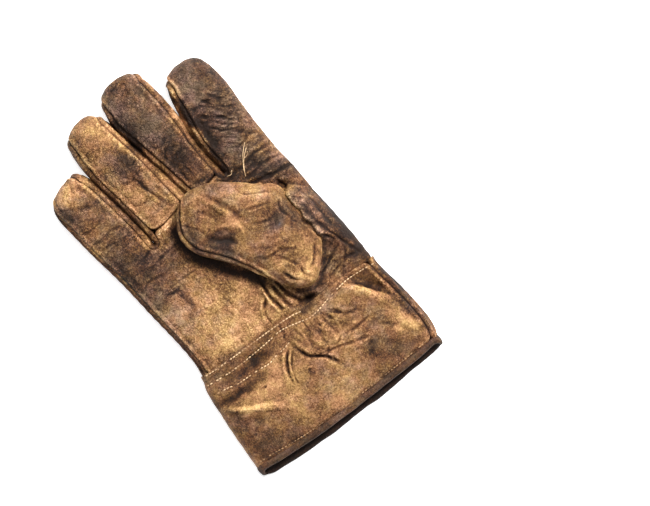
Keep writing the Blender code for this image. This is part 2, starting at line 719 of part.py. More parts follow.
def cuff_columns():
    """Places round the cuff from its seam, over the front, under the back."""
    columns = [("front", f) for f in np.linspace(0, 1, FRONT_COLUMNS)]
    columns += [("left", a) for a in LEFT_ANGLES[1:]]
    columns += [("back", f) for f in np.linspace(0, 1, BACK_COLUMNS)]
    seam_angle = math.degrees(math.acos(1 - (CUFF_SEAM_IN - 2 * HALF_GAP) / TOP_ROUND))
    columns += [("right", a) for a in RIGHT_ANGLES[1:] + (seam_angle,)]
    return columns


def cuff_point(kind, value, v, past_hem=0.0):
    """A point of the cuff's outer face, v from the wrist seam to the hem."""
    if kind == "front":
        x = CUFF_RIGHT - CUFF_SEAM_IN + (CUFF_LEFT + 7 - CUFF_RIGHT + CUFF_SEAM_IN) * value
        hem = line_y(HEM_FRONT, x)
    elif kind == "back":
        x = CUFF_LEFT + 4 + (CUFF_RIGHT - CUFF_LEFT - 8) * value
        hem = line_y(HEM_BACK, x)
    else:
        x = CUFF_LEFT if kind == "left" else CUFF_RIGHT
        share = (90 - value) / 180.0
        hem = line_y(HEM_FRONT, x) * (1 - share) + line_y(HEM_BACK, x) * share
    top = line_y(WRIST_LINE, x) - HALF_GAP
    y = hem - past_hem if past_hem else top + (hem - top) * v
    left, right = side_x(LITTLE_EDGE, y), side_x(THUMB_SIDE_EDGE, y)

    def front_height(px, py):
        inset = np.minimum(px - left, right - px)
        return top_at(fullness(px, py), inset)

    if kind == "front":
        start, end = right - CUFF_SEAM_IN, left + edge_inset(LEFT_ANGLES[0])
        x = start + (end - start) * value
        spot = np.array([x]), np.array([y])
        return (x, y, float(front_height(*spot)[0])), surface_normals(front_height, *spot)[0]
    if kind == "back":
        x = left + 4 + (right - left - 8) * value
        share = max(0.0, 1 - min(x - left, right - x) / BOTTOM_ROUND)
        value = -90 + math.degrees(math.asin(share))
        side = -1.0 if x - left < right - x else 1.0
    else:
        side = -1.0 if kind == "left" else 1.0
        x = left + edge_inset(value) if kind == "left" else right - edge_inset(value)
    height = float(fullness(np.array([x]), np.array([y]))[0])
    outward, upward = edge_normal(height, value)
    return (x, y, edge_height(height, value)), np.array([side * outward, 0.0, upward])


def make_cuff(material):
    """The cuff: one piece round the wrist, seamed on the thumb's side."""
    columns = cuff_columns()
    section = [cuff_point(kind, value, row / CUFF_ROWS)
               for row in range(CUFF_ROWS + 1) for kind, value in columns]
    count = len(columns)
    faces = [(r * count + c, r * count + c + 1, (r + 1) * count + c + 1, (r + 1) * count + c)
             for r in range(CUFF_ROWS) for c in range(count - 1)]
    points, normals = zip(*section)
    build_wall("cuff", points, normals, faces, material)


BINDING_WIDTH = 4.2       # how far the binding reaches past the cuff's cut edge
BINDING_HALF = 1.5        # half its thickness over the cuff's wall
BINDING_SIDES = 8
BINDING_LEAD = 0.5        # it starts this far past the cut edge


def make_binding(material):
    """The folded strip that binds the hem, a soft bead round the mouth."""
    columns = cuff_columns()[:-1]
    count = len(columns)
    points = []
    for kind, value in columns:
        centre, outward = cuff_point(kind, value, 1.0, past_hem=BINDING_LEAD + BINDING_WIDTH / 2)
        middle = np.array(centre) - outward * WALL / 2
        for j in range(BINDING_SIDES):
            a = 2 * math.pi * (j + 0.5) / BINDING_SIDES
            place = middle + outward * BINDING_HALF * math.cos(a) / math.cos(math.pi / 8)
            y = centre[1] + BINDING_WIDTH / 2 * math.sin(a)
            points.append((place[0], y, max(place[2], 0.0)))
    faces = []
    for i in range(count):
        after = (i + 1) % count
        for j in range(BINDING_SIDES):
            k = (j + 1) % BINDING_SIDES
            faces.append((i * BINDING_SIDES + j, i * BINDING_SIDES + k,
                          after * BINDING_SIDES + k, after * BINDING_SIDES + j))
    make_object("hem_binding", points, faces, material)


tan = leather("tan grain leather", (0.30, 0.19, 0.11), 0.68)
brown = leather("brown worn leather", (0.20, 0.13, 0.085), 0.70)
dark = leather("dark soiled leather", (0.12, 0.09, 0.07), 0.72)
edge_tape = leather("binding leather", (0.11, 0.065, 0.055), 0.60)

make_palm(brown)
make_finger_front("ring_front", RING_BASE, RING_BASE_ENDS, tan)
make_finger_front("middle_front", MIDDLE_BASE, MIDDLE_BASE_ENDS, dark)
make_back(brown)
for fourchette, fourchette_ends in FOURCHETTES.items():
    make_fourchette(fourchette, fourchette_ends, tan)
make_thumb_half("thumb_upper", True, tan)
make_thumb_half("thumb_lower", False, brown)
make_cuff(tan)
make_binding(edge_tape)
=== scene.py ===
# %% [markdown]
# # A worn leather work glove
# The real glove is cut from cowhide in eleven pieces, sewn inside out and then turned.
# This lesson takes each cut piece from the frame, gives its leather a fine surface with seams,
# creases and gathers, and then ages it: worn tan where hands rub, grime where they don't,
# and painted shade darkening its creases and hollows.

# %% Load the frame
import itertools
import math

import bmesh
import bpy
import numpy as np
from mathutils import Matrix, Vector
from mathutils.bvhtree import BVHTree
from mathutils.kdtree import KDTree


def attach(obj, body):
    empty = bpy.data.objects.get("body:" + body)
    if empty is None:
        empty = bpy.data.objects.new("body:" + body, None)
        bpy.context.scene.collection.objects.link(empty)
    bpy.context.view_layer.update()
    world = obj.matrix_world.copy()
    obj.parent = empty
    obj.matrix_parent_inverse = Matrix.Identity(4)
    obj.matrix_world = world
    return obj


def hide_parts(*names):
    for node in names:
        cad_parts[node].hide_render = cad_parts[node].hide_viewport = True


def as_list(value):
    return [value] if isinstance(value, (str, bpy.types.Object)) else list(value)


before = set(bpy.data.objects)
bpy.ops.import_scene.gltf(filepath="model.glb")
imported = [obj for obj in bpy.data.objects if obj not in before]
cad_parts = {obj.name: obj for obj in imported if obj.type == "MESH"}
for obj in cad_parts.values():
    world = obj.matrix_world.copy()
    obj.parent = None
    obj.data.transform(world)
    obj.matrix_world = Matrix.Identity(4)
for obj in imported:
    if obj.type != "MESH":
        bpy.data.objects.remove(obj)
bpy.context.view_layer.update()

scene = bpy.context.scene

# %% [markdown]
# ## One drawing for every piece
# A glove maker works from paper patterns drawn in millimetres, so places on the glove are
# given that way here: x to the index finger's side, y to the fingertips, z up from the table.
# The drawing's zero lies a little off the middle of the glove's box, and two helpers turn a
# place on the drawing into metres in the frame and back.

# %% The drawing's units
MM = 0.001
DRAWING_ZERO = np.array([-1.3, -1.36, 0.0])


def on_drawing(points):
    """Frame places in metres as drawing places in millimetres."""
    return np.asarray(points, float) / MM - DRAWING_ZERO


def in_frame(points):
    """Drawing places in millimetres as frame places in metres."""
    return (np.asarray(points, float) + DRAWING_ZERO) * MM


print("the middle of the box on the drawing:", on_drawing([0, 0, 0]).round(1))

# %% [markdown]
# ## Camera
# The glove lies palm up and is looked at from straight above, with the cuff towards the
# lower right. A long lens keeps the fingers' sides from spreading. The glove sits to the left
# of the picture, so the camera is moved over the table instead of being shifted.

# %% Camera
CAMERA_TURN = math.radians(-38)
CAMERA_PLACE = (46.7, -38.2)          # over the table, in millimetres from the frame's zero
PICTURE_WIDTH = 412.8                 # millimetres of table across the picture
LENS = 100.0
SENSOR = 36.0
GLOVE_HEIGHT = 7.0                    # the height at which the outline is widest


def add_object(name, data):
    """An object made from its data and linked into the scene."""
    added = bpy.data.objects.new(name, data)
    scene.collection.objects.link(added)
    return added


camera_data = bpy.data.cameras.new("camera")
camera_data.lens = LENS
camera_data.sensor_width = SENSOR
camera = add_object("camera", camera_data)
camera_distance = PICTURE_WIDTH * LENS / SENSOR + GLOVE_HEIGHT
camera.location = Vector((*CAMERA_PLACE, camera_distance)) * MM
camera.rotation_euler = (0, 0, CAMERA_TURN)
scene.camera = camera
print("camera height in metres:", round(camera.location.z, 3))

# %% [markdown]
# ## Light and table
# Leather relief shows when one soft light comes in from a side and weaker ones fill the
# shadows. The main light is a panel beyond the index finger's side, two wide and weak panels
# stand above and across from it, and plain white light comes from all round. The table is a
# pale sheet with a little light of its own, so that it stays white under the glove.

# %% Light and table
scene.view_settings.view_transform = "Standard"
WHITE = (1.0, 1.0, 1.0, 1.0)


def new_material(name):
    """A material with its node tree and its shader."""
    material = bpy.data.materials.new(name)
    material.use_nodes = True
    return material, material.node_tree, material.node_tree.nodes["Principled BSDF"]


def add_panel(name, aim_from, size, power, warmth=(1.0, 1.0, 1.0)):
    """A square light panel, pointing at the glove from a place in metres."""
    data = bpy.data.lights.new(name, "AREA")
    data.size = size
    data.energy = power
    data.color = warmth
    panel = add_object(name, data)
    panel.location = aim_from
    panel.rotation_euler = Vector(aim_from).to_track_quat("Z", "Y").to_euler()
    return panel


add_panel("key_panel", (0.92, 0.30, 1.05), 0.36, 42.0, (1.0, 0.98, 0.95))
add_panel("top_panel", (0.25, 0.55, 1.6), 1.0, 10.0)
add_panel("fill_panel", (-1.1, -0.5, 0.9), 1.2, 2.0)

world = bpy.data.worlds.new("studio")
world.use_nodes = True
world.node_tree.nodes["Background"].inputs["Color"].default_value = WHITE
world.node_tree.nodes["Background"].inputs["Strength"].default_value = 0.24
scene.world = world

TABLE_SIZE = 6.0          # metres
TABLE_GAP = 0.0003        # and the table lies this much below the glove
bpy.ops.object.select_all(action="DESELECT")
bpy.ops.mesh.primitive_plane_add(size=TABLE_SIZE, location=(0, 0, -TABLE_GAP))
table = bpy.context.active_object
table.name = "table"
bpy.ops.object.transform_apply(location=True)
table_paint, _, table_shader = new_material("table_paint")
table_shader.inputs["Base Color"].default_value = (0.93, 0.93, 0.93, 1.0)
table_shader.inputs["Roughness"].default_value = 0.9
table_shader.inputs["Emission Color"].default_value = WHITE
table_shader.inputs["Emission Strength"].default_value = 0.6
table.data.materials.append(table_paint)
print("lights:", [light.name for light in bpy.data.lights])

# %% [markdown]
# ## Lumps and clouds
# Hide is never even, so most of the glove's ageing starts from smooth noise: lumps of a given
# size, or clouds, which are lumps on lumps. Cells of a lattice get numbers from a small hash
# of their place, so the same hide comes out each time. A noise texture could only colour the
# leather, and this noise moves its points too.

# %% Noise
def hashed(seed, i, j, k):
    """A number from 0 to 1 for each cell of a lattice."""
    mixed = (i * 374761393 + j * 668265263 + k * 1440662683 + seed * 1274126177) & 0xFFFFFFFF
    mixed = ((mixed ^ (mixed >> 13)) * 1274126177) & 0xFFFFFFFF
    return ((mixed ^ (mixed >> 16)) & 0xFFFF) / 65535.0


def lumps(points, size, seed=0):
    """Smooth noise from -1 to 1; size may differ along x, y and z."""
    at = points / np.broadcast_to(size, 3) + 500.0
    cell = np.floor(at).astype(np.int64)
    share = at - cell
    share = share * share * (3 - 2 * share)
    total = np.zeros(len(points))
    for corner in itertools.product((0, 1), repeat=3):
        weight = np.prod(np.where(corner, share, 1 - share), axis=1)
        total += weight * hashed(seed, *(cell + corner).T)
    return 2 * total - 1


def clouds(points, size, seed=0, layers=3):
    """Lumps on lumps, each layer half as large and half as strong."""
    sizes = [size / 2 ** n for n in range(layers)]
    total = sum(lumps(points, s, seed + n) / 2 ** n for n, s in enumerate(sizes))
    return total / sum(0.5 ** n for n in range(layers))


def turned(points, degrees):
    """The points turned about z, for lumps that run along a direction."""
    a = math.radians(degrees)
    x = points[:, 0] * math.cos(a) + points[:, 1] * math.sin(a)
    y = points[:, 1] * math.cos(a) - points[:, 0] * math.sin(a)
    return np.column_stack([x, y, points[:, 2]])


def soft_spot(points, x, y, wide, long, lean=0.0):
    """1 at the spot's middle, fading to 0; wide and long are half sizes."""
    near = turned(points - np.array([x, y, 0.0]), lean)
    return np.exp(-(near[:, 0] / wide) ** 2 - (near[:, 1] / long) ** 2)


def step_up(values, low, high):
    """0 below low, 1 above high, and a smooth step between."""
    share = np.clip((values - low) / (high - low), 0, 1)
    return share * share * (3 - 2 * share)


# %% [markdown]
# ## Lines drawn on the leather
# A crease, a seam or a row of stitches is a line through a few places on the drawing. The
# line is rounded into a curve, and each point of the leather asks how far it is from it, and
# how far along it lies, so that a crease can fade out at its ends.

# %% Lines
def rounded(places, parts=6):
    """A smooth curve through the places."""
    pts = [np.array(p, float) for p in places]
    if len(pts) < 3:
        return np.array(pts)
    pts = [2 * pts[0] - pts[1]] + pts + [2 * pts[-1] - pts[-2]]
    out = []
    for a, b, c, d in zip(pts, pts[1:], pts[2:], pts[3:]):
        for t in np.arange(parts) / parts:
            out.append(0.5 * (2 * b + (c - a) * t + (2 * a - 5 * b + 4 * c - d) * t ** 2
                              + (3 * b - a - 3 * c + d) * t ** 3))
    return np.array(out + [pts[-2]])


def lengths_along(line):
    """How far along the line each of its places lies."""
    return np.concatenate([[0], np.cumsum(np.linalg.norm(np.diff(line, axis=0), axis=1))])


def beside(points, line):
    """Distance of each point from a line seen from above, and its share along it."""
    steps = np.linalg.norm(np.diff(line, axis=0), axis=1)
    starts = np.concatenate([[0.0], np.cumsum(steps)])
    best = np.full(len(points), 1e9)
    share = np.zeros(len(points))
    for a, b, start, step in zip(line, line[1:], starts, steps):
        t = np.clip((points[:, :2] - a) @ (b - a) / step ** 2, 0, 1)
        apart = np.linalg.norm(points[:, :2] - a - t[:, None] * (b - a), axis=1)
        closer = apart < best
        best[closer] = apart[closer]
        share[closer] = (start + t[closer] * step) / starts[-1]
    return best, share


# %% [markdown]
# ## The creases
# Each crease is a depth and a width in millimetres and the places it runs through. A negative
# depth is a ridge. They are kept by the part of the glove that they are in, because the
# folded thumb lies over the palm and has its own. They could be sculpted, or left to a cloth
# simulation, but a list of lines keeps each crease where stiff leather has dried in it.

# %% Creases
# depth, width and places
CREASES = {
    "hand": [
        # little finger
        (0.5, 0.8, [(-66, 57), (-58, 56), (-50, 57.5), (-42, 56)]),
        (0.5, 0.8, [(-65, 49), (-56, 50.5), (-48, 48.5), (-41, 50)]),
        (0.4, 0.8, [(-67, 66), (-58, 65), (-47, 68)]),
        (0.5, 1.0, [(-70, 88), (-63, 84), (-55, 79), (-48, 76)]),
        (0.4, 0.9, [(-52, 99), (-54, 92), (-59, 84)]),
        (0.5, 0.9, [(-46, 97), (-49, 92), (-47, 85)]),
        # ring finger
        (0.8, 1.0, [(-24, 80), (-18, 73), (-16, 64), (-12, 52), (-9, 45)]),
        (0.5, 0.8, [(-18, 84), (-13, 82), (-9, 84)]),
        (0.4, 0.8, [(-28, 78), (-21, 74), (-14, 76), (-8, 74)]),
        (0.4, 0.8, [(-30, 62), (-24, 58), (-17, 60)]),
        (-0.7, 0.7, [(-33, 37.6), (-24, 38.4), (-15, 41)]),
        (-0.6, 0.6, [(-33, 35.4), (-24, 36.2), (-15, 38.6)]),
        # middle finger
        (0.5, 0.9, [(0, 84), (7, 80), (14, 82), (22, 79)]),
        (0.6, 0.9, [(4, 70), (9, 76), (17, 74)]),
        (0.5, 0.8, [(8, 66), (14, 70), (22, 68)]),
        (0.4, 0.8, [(5, 62), (8, 56), (7, 49)]),
        (0.4, 0.8, [(12, 62), (13, 55), (12, 48)]),
        (0.4, 0.8, [(18, 60), (18, 54), (20, 48)]),
        # index finger
        (0.7, 0.7, [(36, 86), (41, 84.5), (45, 86), (50, 83)]),
        (0.6, 0.6, [(50, 92), (53, 84), (58, 80), (64, 81)]),
        (0.8, 0.7, [(37, 80), (43, 76), (49, 71), (55, 64)]),
        (0.6, 0.6, [(45, 88), (50, 80), (57, 74), (64, 71)]),
        (0.7, 0.7, [(38, 72), (43, 66), (50, 60), (58, 52)]),
        (0.5, 0.6, [(37, 62), (42, 56), (48, 51)]),
        (0.6, 0.8, [(38, 54), (48, 50), (57, 52), (64, 49)]),
        (0.9, 1.1, [(33, 39), (42, 38), (50, 40.5), (58, 40), (65, 41)]),
        (0.7, 1.0, [(33, 32), (43, 31), (52, 32.5), (66, 30)]),
        (1.8, 1.3, [(34, 27.5), (40, 25.5), (47, 24.5), (54, 22.5), (61, 22), (67, 20.6)]),
        (1.0, 1.0, [(21, 41), (24, 38.6), (30, 37.5), (36, 38.5)]),
        # palm
        (-0.5, 1.1, [(-36, 31), (-27, 28.5), (-18, 27)]),
        (0.6, 0.8, [(-46, 22), (-36, 24.5), (-28, 25.5), (-18, 25)]),
        (0.5, 0.7, [(-64, 33), (-54, 30), (-44, 31), (-34, 34)]),
        (0.4, 0.7, [(-60, 14), (-50, 17), (-40, 15), (-28, 18)]),
        (0.4, 0.6, [(-49, 5.5), (-38, 6.2), (-22, 5)]),
        (0.35, 0.5, [(-45, -19), (-38, -17), (-34, -18), (-29, -21)]),
        (0.4, 0.6, [(-48, 3.5), (-44, 2.5), (-40, 2), (-36, 4)]),
        (0.4, 0.6, [(-42, 2), (-40, -4), (-39.5, -9)]),
        (0.35, 0.5, [(-52, -6), (-46, -3.5), (-41, -4.5)]),
        (0.3, 0.5, [(-20, 12), (-18, 0), (-14, -10), (-12, -24)]),
        (0.3, 0.5, [(-30, 2), (-24, -2), (-20, -12), (-18, -30)]),
        (0.45, 0.6, [(-60, -38), (-56, -42), (-52, -45)]),
        (0.35, 0.6, [(-35, -46), (-34.5, -49), (-35, -51)]),
        (0.35, 0.6, [(-28, -47), (-27.5, -49.5), (-26, -51)]),
        (0.3, 0.5, [(-18, -40), (-17, -46), (-17, -51)]),
        (0.25, 0.5, [(-14, 12), (-16, -4), (-12, -20), (-9, -38)]),
        (0.25, 0.5, [(-24, 4), (-26, -14), (-22, -32), (-20, -46)]),
        # gathers above the wrist seam
        (1.6, 1.0, [(5, -22), (4.4, -30), (3.6, -38), (5, -50)]),
        (-1.0, 1.0, [(2.2, -27), (1.6, -37), (2.2, -50)]),
        (1.5, 1.0, [(0.5, -36.5), (-3.2, -40.5), (-5.5, -45), (-6.2, -52)]),
        (-0.8, 0.9, [(-1, -34.8), (-5.5, -39.5), (-8, -45), (-8.6, -52)]),
        (1.4, 0.9, [(9, -30), (9, -40), (10.2, -52)]),
        (1.8, 1.1, [(12, -31), (13.5, -41), (16, -47), (17, -53)]),
        # beside the thumb
        (0.9, 0.9, [(57, 1), (57.2, -10), (58.6, -24), (61, -35), (64, -44), (66.8, -52)]),
        (-1.0, 1.3, [(52.6, 19), (57, 16.4), (62, 12.4), (67, 7.6)]),
        (0.8, 1.0, [(55.5, 13.8), (60, 9.8), (65, 4.5)]),
        (0.6, 0.9, [(60, 2), (62.5, -6), (62, -16), (63.5, -28)]),
        (0.9, 0.9, [(52, 7), (56, 3.5), (60, -2)]),
        (0.8, 0.9, [(52, -4), (55, -7), (57, -12)]),
        (0.8, 0.9, [(52, -15), (55.5, -17), (59, -22)]),
        (0.8, 0.9, [(52, -24), (56, -28), (59, -35)]),
        # below the thumb
        (1.0, 1.1, [(36, -46), (44, -44), (52, -40), (60, -37)]),
        (0.9, 1.0, [(40, -51), (48, -49), (57, -47.5), (66, -49)]),
        (0.8, 0.9, [(48, -56), (52, -51), (60, -43)]),
    ],
    "thumb": [
        (-1.2, 2.2, [(4.5, 43), (9.5, 34), (12, 26), (14.5, 17)]),
        (-1.0, 1.8, [(0, 18), (8, 15), (14, 10.5)]),
        (-0.8, 1.8, [(14.5, 17), (16, 8), (13, -2)]),
        (0.9, 1.4, [(9, 40), (14, 31), (18, 22), (20, 12)]),
        (0.7, 1.2, [(0, 33), (5, 27), (8, 20)]),
        (1.0, 1.8, [(-7, 17), (-1, 11), (6, 6), (9, 0)]),
        (0.6, 0.9, [(22, 6), (28, 3), (34, 1), (40, 3)]),
        (0.6, 0.9, [(28, 30), (33, 22), (42, 17), (48, 14)]),
        (0.5, 0.9, [(24, -20), (27, -26), (31, -33)]),
        (0.9, 1.2, [(10, -12), (18, -17), (27, -18), (36, -24)]),
        (-0.6, 1.4, [(16, -7), (26, -12), (38, -15)]),
        (0.6, 0.9, [(49, -10), (51.5, -18), (53, -24)]),
        (0.5, 0.8, [(44, -6), (47.5, -14), (48, -24)]),
        (0.8, 1.0, [(46, 8), (43, 2), (45, -6)]),
        (1.1, 1.2, [(48, -28), (43, -33), (39, -37), (34, -39)]),
        (0.9, 1.0, [(31, -33), (30, -39), (33, -44)]),
        (0.8, 0.9, [(20, -30), (22, -37), (27, -42)]),
        (0.5, 0.8, [(24, 15), (33, 12), (41, 9)]),
        (0.5, 0.8, [(-12, 32), (-6, 24), (-3, 16)]),
    ],
    "cuff": [
        (1.4, 0.75, [(-5, -68), (-2.4, -76), (0, -82), (5, -86), (10, -91), (14.8, -101)]),
        (-0.8, 1.0, [(-2.6, -68), (0.2, -75.5), (2.4, -80), (7.5, -84), (12.4, -89.5)]),
        (1.4, 0.75, [(-7.6, -70), (-13.6, -76.5), (-17, -83), (-18.4, -90)]),
        (-0.8, 1.0, [(-9.6, -68.6), (-15.8, -75), (-19.4, -82), (-20.6, -89)]),
        (0.8, 0.8, [(3, -85), (9, -87.5), (15, -87.6), (28, -92), (39, -95.5)]),
        (0.5, 0.8, [(27, -84), (36, -85.6), (46, -85)]),
        (0.5, 0.6, [(-3, -54), (-4, -60), (-6, -66)]),
        (0.6, 0.6, [(3.5, -55), (3, -62), (4, -70)]),
        (0.7, 0.55, [(6.4, -63), (6.6, -72), (5.4, -81)]),
        (0.7, 0.55, [(10, -58), (10.4, -68), (9.8, -75)]),
        (0.75, 0.55, [(13.4, -62), (13.8, -74), (14.4, -85)]),
        (-1.0, 2.0, [(9.6, -73), (10.4, -79), (11.6, -86)]),
        (-1.1, 2.2, [(18.6, -71), (19.6, -78), (20.4, -87)]),
        (-1.0, 2.4, [(25, -72), (31, -78), (38, -84)]),
        (0.8, 0.6, [(6, -84.4), (10, -86.4), (14, -85)]),
        (0.8, 0.6, [(15, -85), (19.4, -86.6), (24, -84)]),
        (0.6, 0.6, [(25, -84), (32, -86), (40, -85.4)]),
        (0.9, 0.7, [(-36, -80.8), (-34.5, -80.3), (-33, -80.8)]),
        (1.0, 0.7, [(-6, -89.4), (-4.6, -88.9), (-3.2, -89.4)]),
        (1.0, 1.1, [(32.4, -105), (34.6, -103.2), (37, -101.4)]),
        (-0.7, 0.9, [(-62, -77), (-52, -84.4), (-43, -91), (-32, -98)]),
        (0.5, 0.5, [(8.4, -60), (8.2, -70), (7, -78)]),
        (0.5, 0.5, [(15.2, -64), (15.6, -72), (16, -80)]),
        (0.5, 0.5, [(22.4, -63), (24, -69), (26, -73)]),
        (0.5, 0.5, [(12, -60), (12.2, -66), (12, -73)]),
        (0.8, 0.55, [(-4, -71), (-11, -78), (-15, -86), (-15.5, -92), (-12.5, -94)]),
        (0.8, 0.6, [(47, -59.5), (54, -66), (60, -75), (65, -83), (68, -88)]),
        (-0.7, 1.2, [(45.5, -61), (52, -67.5), (58, -76), (63, -85)]),
        (0.7, 0.55, [(16.6, -63), (17.0, -68), (17.8, -73)]),
        (0.7, 0.55, [(20.4, -64), (22.2, -74), (24.4, -85)]),
        (0.6, 0.55, [(24.4, -65), (26, -72), (29, -78)]),
        (1.0, 1.0, [(28, -66), (33, -73), (40, -78)]),
        (-1.2, 2.6, [(-61, -77), (-53, -83), (-45, -88), (-34, -95), (-25, -98)]),
        (1.0, 3.2, [(-66, -84), (-56, -91), (-44, -98)]),
        (1.6, 4.2, [(-44, -65.4), (-34, -63.6), (-20, -63)]),
        (1.2, 2.2, [(-66, -71), (-56, -72.4), (-44, -74.6), (-36, -75)]),
        (2.6, 3.4, [(48, -57), (54, -63), (60, -72), (65.5, -82)]),
        (-1.4, 3.0, [(42, -58), (48, -66), (56, -76), (63, -86)]),
        (0.4, 1.2, [(46, -92), (54, -98), (60, -107), (64, -114)]),
        (0.7, 1.2, [(30, -106), (34, -101), (38, -98)]),
    ],
    "back": [
        (0.8, 1.4, [(-68, 76), (-58, 73), (-44, 75)]),
        (0.7, 1.3, [(-66, 56), (-54, 54), (-40, 56)]),
        (0.8, 1.4, [(-37, 84), (-24, 81), (-9, 84)]),
        (0.7, 1.3, [(-34, 62), (-20, 60), (-4, 62)]),
        (0.8, 1.4, [(-4, 90), (8, 87), (24, 90)]),
        (0.7, 1.3, [(0, 66), (12, 64), (25, 66)]),
        (0.8, 1.4, [(32, 78), (46, 75), (62, 78)]),
        (0.7, 1.3, [(32, 56), (46, 54), (62, 56)]),
        (1.0, 2.0, [(-58, 30), (-30, 36), (0, 38), (30, 36), (58, 28)]),
        (0.8, 2.2, [(-46, 20), (-44, -8), (-38, -34)]),
        (0.8, 2.2, [(-14, 24), (-12, -6), (-10, -34)]),
        (0.8, 2.2, [(18, 24), (16, -6), (14, -34)]),
        (1.2, 1.6, [(-56, -44), (-26, -41), (8, -43), (34, -41), (62, -46)]),
        (0.8, 1.2, [(-40, -50), (-20, -47), (4, -49), (30, -47)]),
    ],
}
print("creases:", {part: len(creases) for part, creases in CREASES.items()})

# %% [markdown]
# ## Fine wrinkles
# Between the creases the leather is wrinkled where it bends: across the fingers, along the
# palm, and tightly at the gathers. A spot says where, in which direction, how close together
# and how deep, and long thin lumps with sharp valleys make the wrinkles. A bump in the
# material could draw them, but moved points cast true shadows and stay in the mesh.

# %% Fine wrinkles
# x, y, half width, half length, the wrinkles' direction in degrees, spacing and depth
WRINKLES = {
    "hand": [
        (-54, 50, 14, 14, 2, 1.8, 0.40), (-57, 80, 14, 16, -20, 2.0, 0.28),
        (-24, 100, 13, 20, 70, 2.0, 0.20), (-18, 76, 11, 18, 60, 1.8, 0.50),
        (-18, 46, 14, 10, 80, 2.2, 0.32), (10, 76, 14, 16, 30, 1.8, 0.45),
        (12, 53, 13, 9, 85, 2.2, 0.40), (8, 112, 12, 18, 60, 1.9, 0.40), (8, 124, 9, 5, 20, 1.6, 0.60),
        (50, 68, 15, 24, -40, 1.5, 0.85), (50, 62, 14, 26, -20, 2.2, 0.55),
        (50, 34, 18, 13, 0, 2.4, 0.70), (50, 98, 15, 18, -50, 2.0, 0.40),
        (-44, 24, 24, 20, 5, 1.9, 0.34), (-18, -20, 18, 34, 95, 1.7, 0.30),
        (-44, -24, 20, 28, 80, 2.2, 0.22), (8, -42, 11, 12, 92, 1.7, 0.60),
        (50, -46, 16, 11, 20, 2.0, 0.65), (62, -12, 8, 30, 95, 2.6, 0.50),
    ],
    "thumb": [
        (40, -8, 16, 22, 60, 1.9, 0.45), (6, 28, 16, 18, 55, 2.0, 0.40),
        (22, -18, 16, 14, -20, 2.0, 0.45), (30, -36, 14, 9, 20, 1.9, 0.55),
        (22, 14, 14, 14, -30, 2.6, 0.30), (51, -14, 6, 26, 95, 2.2, 0.60),
    ],
    "cuff": [
        (14, -70, 18, 13, 92, 1.9, 0.65), (-30, -95, 36, 22, -25, 2.6, 0.22),
        (36, -88, 22, 14, -15, 3.0, 0.50), (56, -74, 10, 16, -60, 2.4, 0.40),
        (10, -108, 60, 14, -5, 2.4, 0.18),
    ],
    "back": [
        (-20, 60, 60, 40, 3, 3.0, 0.35), (0, -44, 60, 12, 0, 2.6, 0.45),
        (0, -5, 60, 34, 92, 4.0, 0.28),
    ],
}


WRINKLE_WANDER = 2.2      # how far a wrinkle wanders from its straight line


def wrinkle_depth(points, part):
    """How deep the fine wrinkles are at each point."""
    depth = np.zeros(len(points))
    for number, (x, y, wide, long, lean, spacing, strength) in enumerate(WRINKLES[part]):
        where = soft_spot(points, x, y, wide, long)
        bent = turned(points, lean)
        bent[:, 1] += WRINKLE_WANDER * lumps(points, 12.0, 40 + number)
        lines = np.abs(lumps(bent, (spacing * 4.5, spacing, spacing * 3), 60 + number))
        depth += strength * where * (1 - np.clip(lines * 2.6, 0, 1)) ** 1.5
    return depth


print("wrinkled spots:", {part: len(spots) for part, spots in WRINKLES.items()})
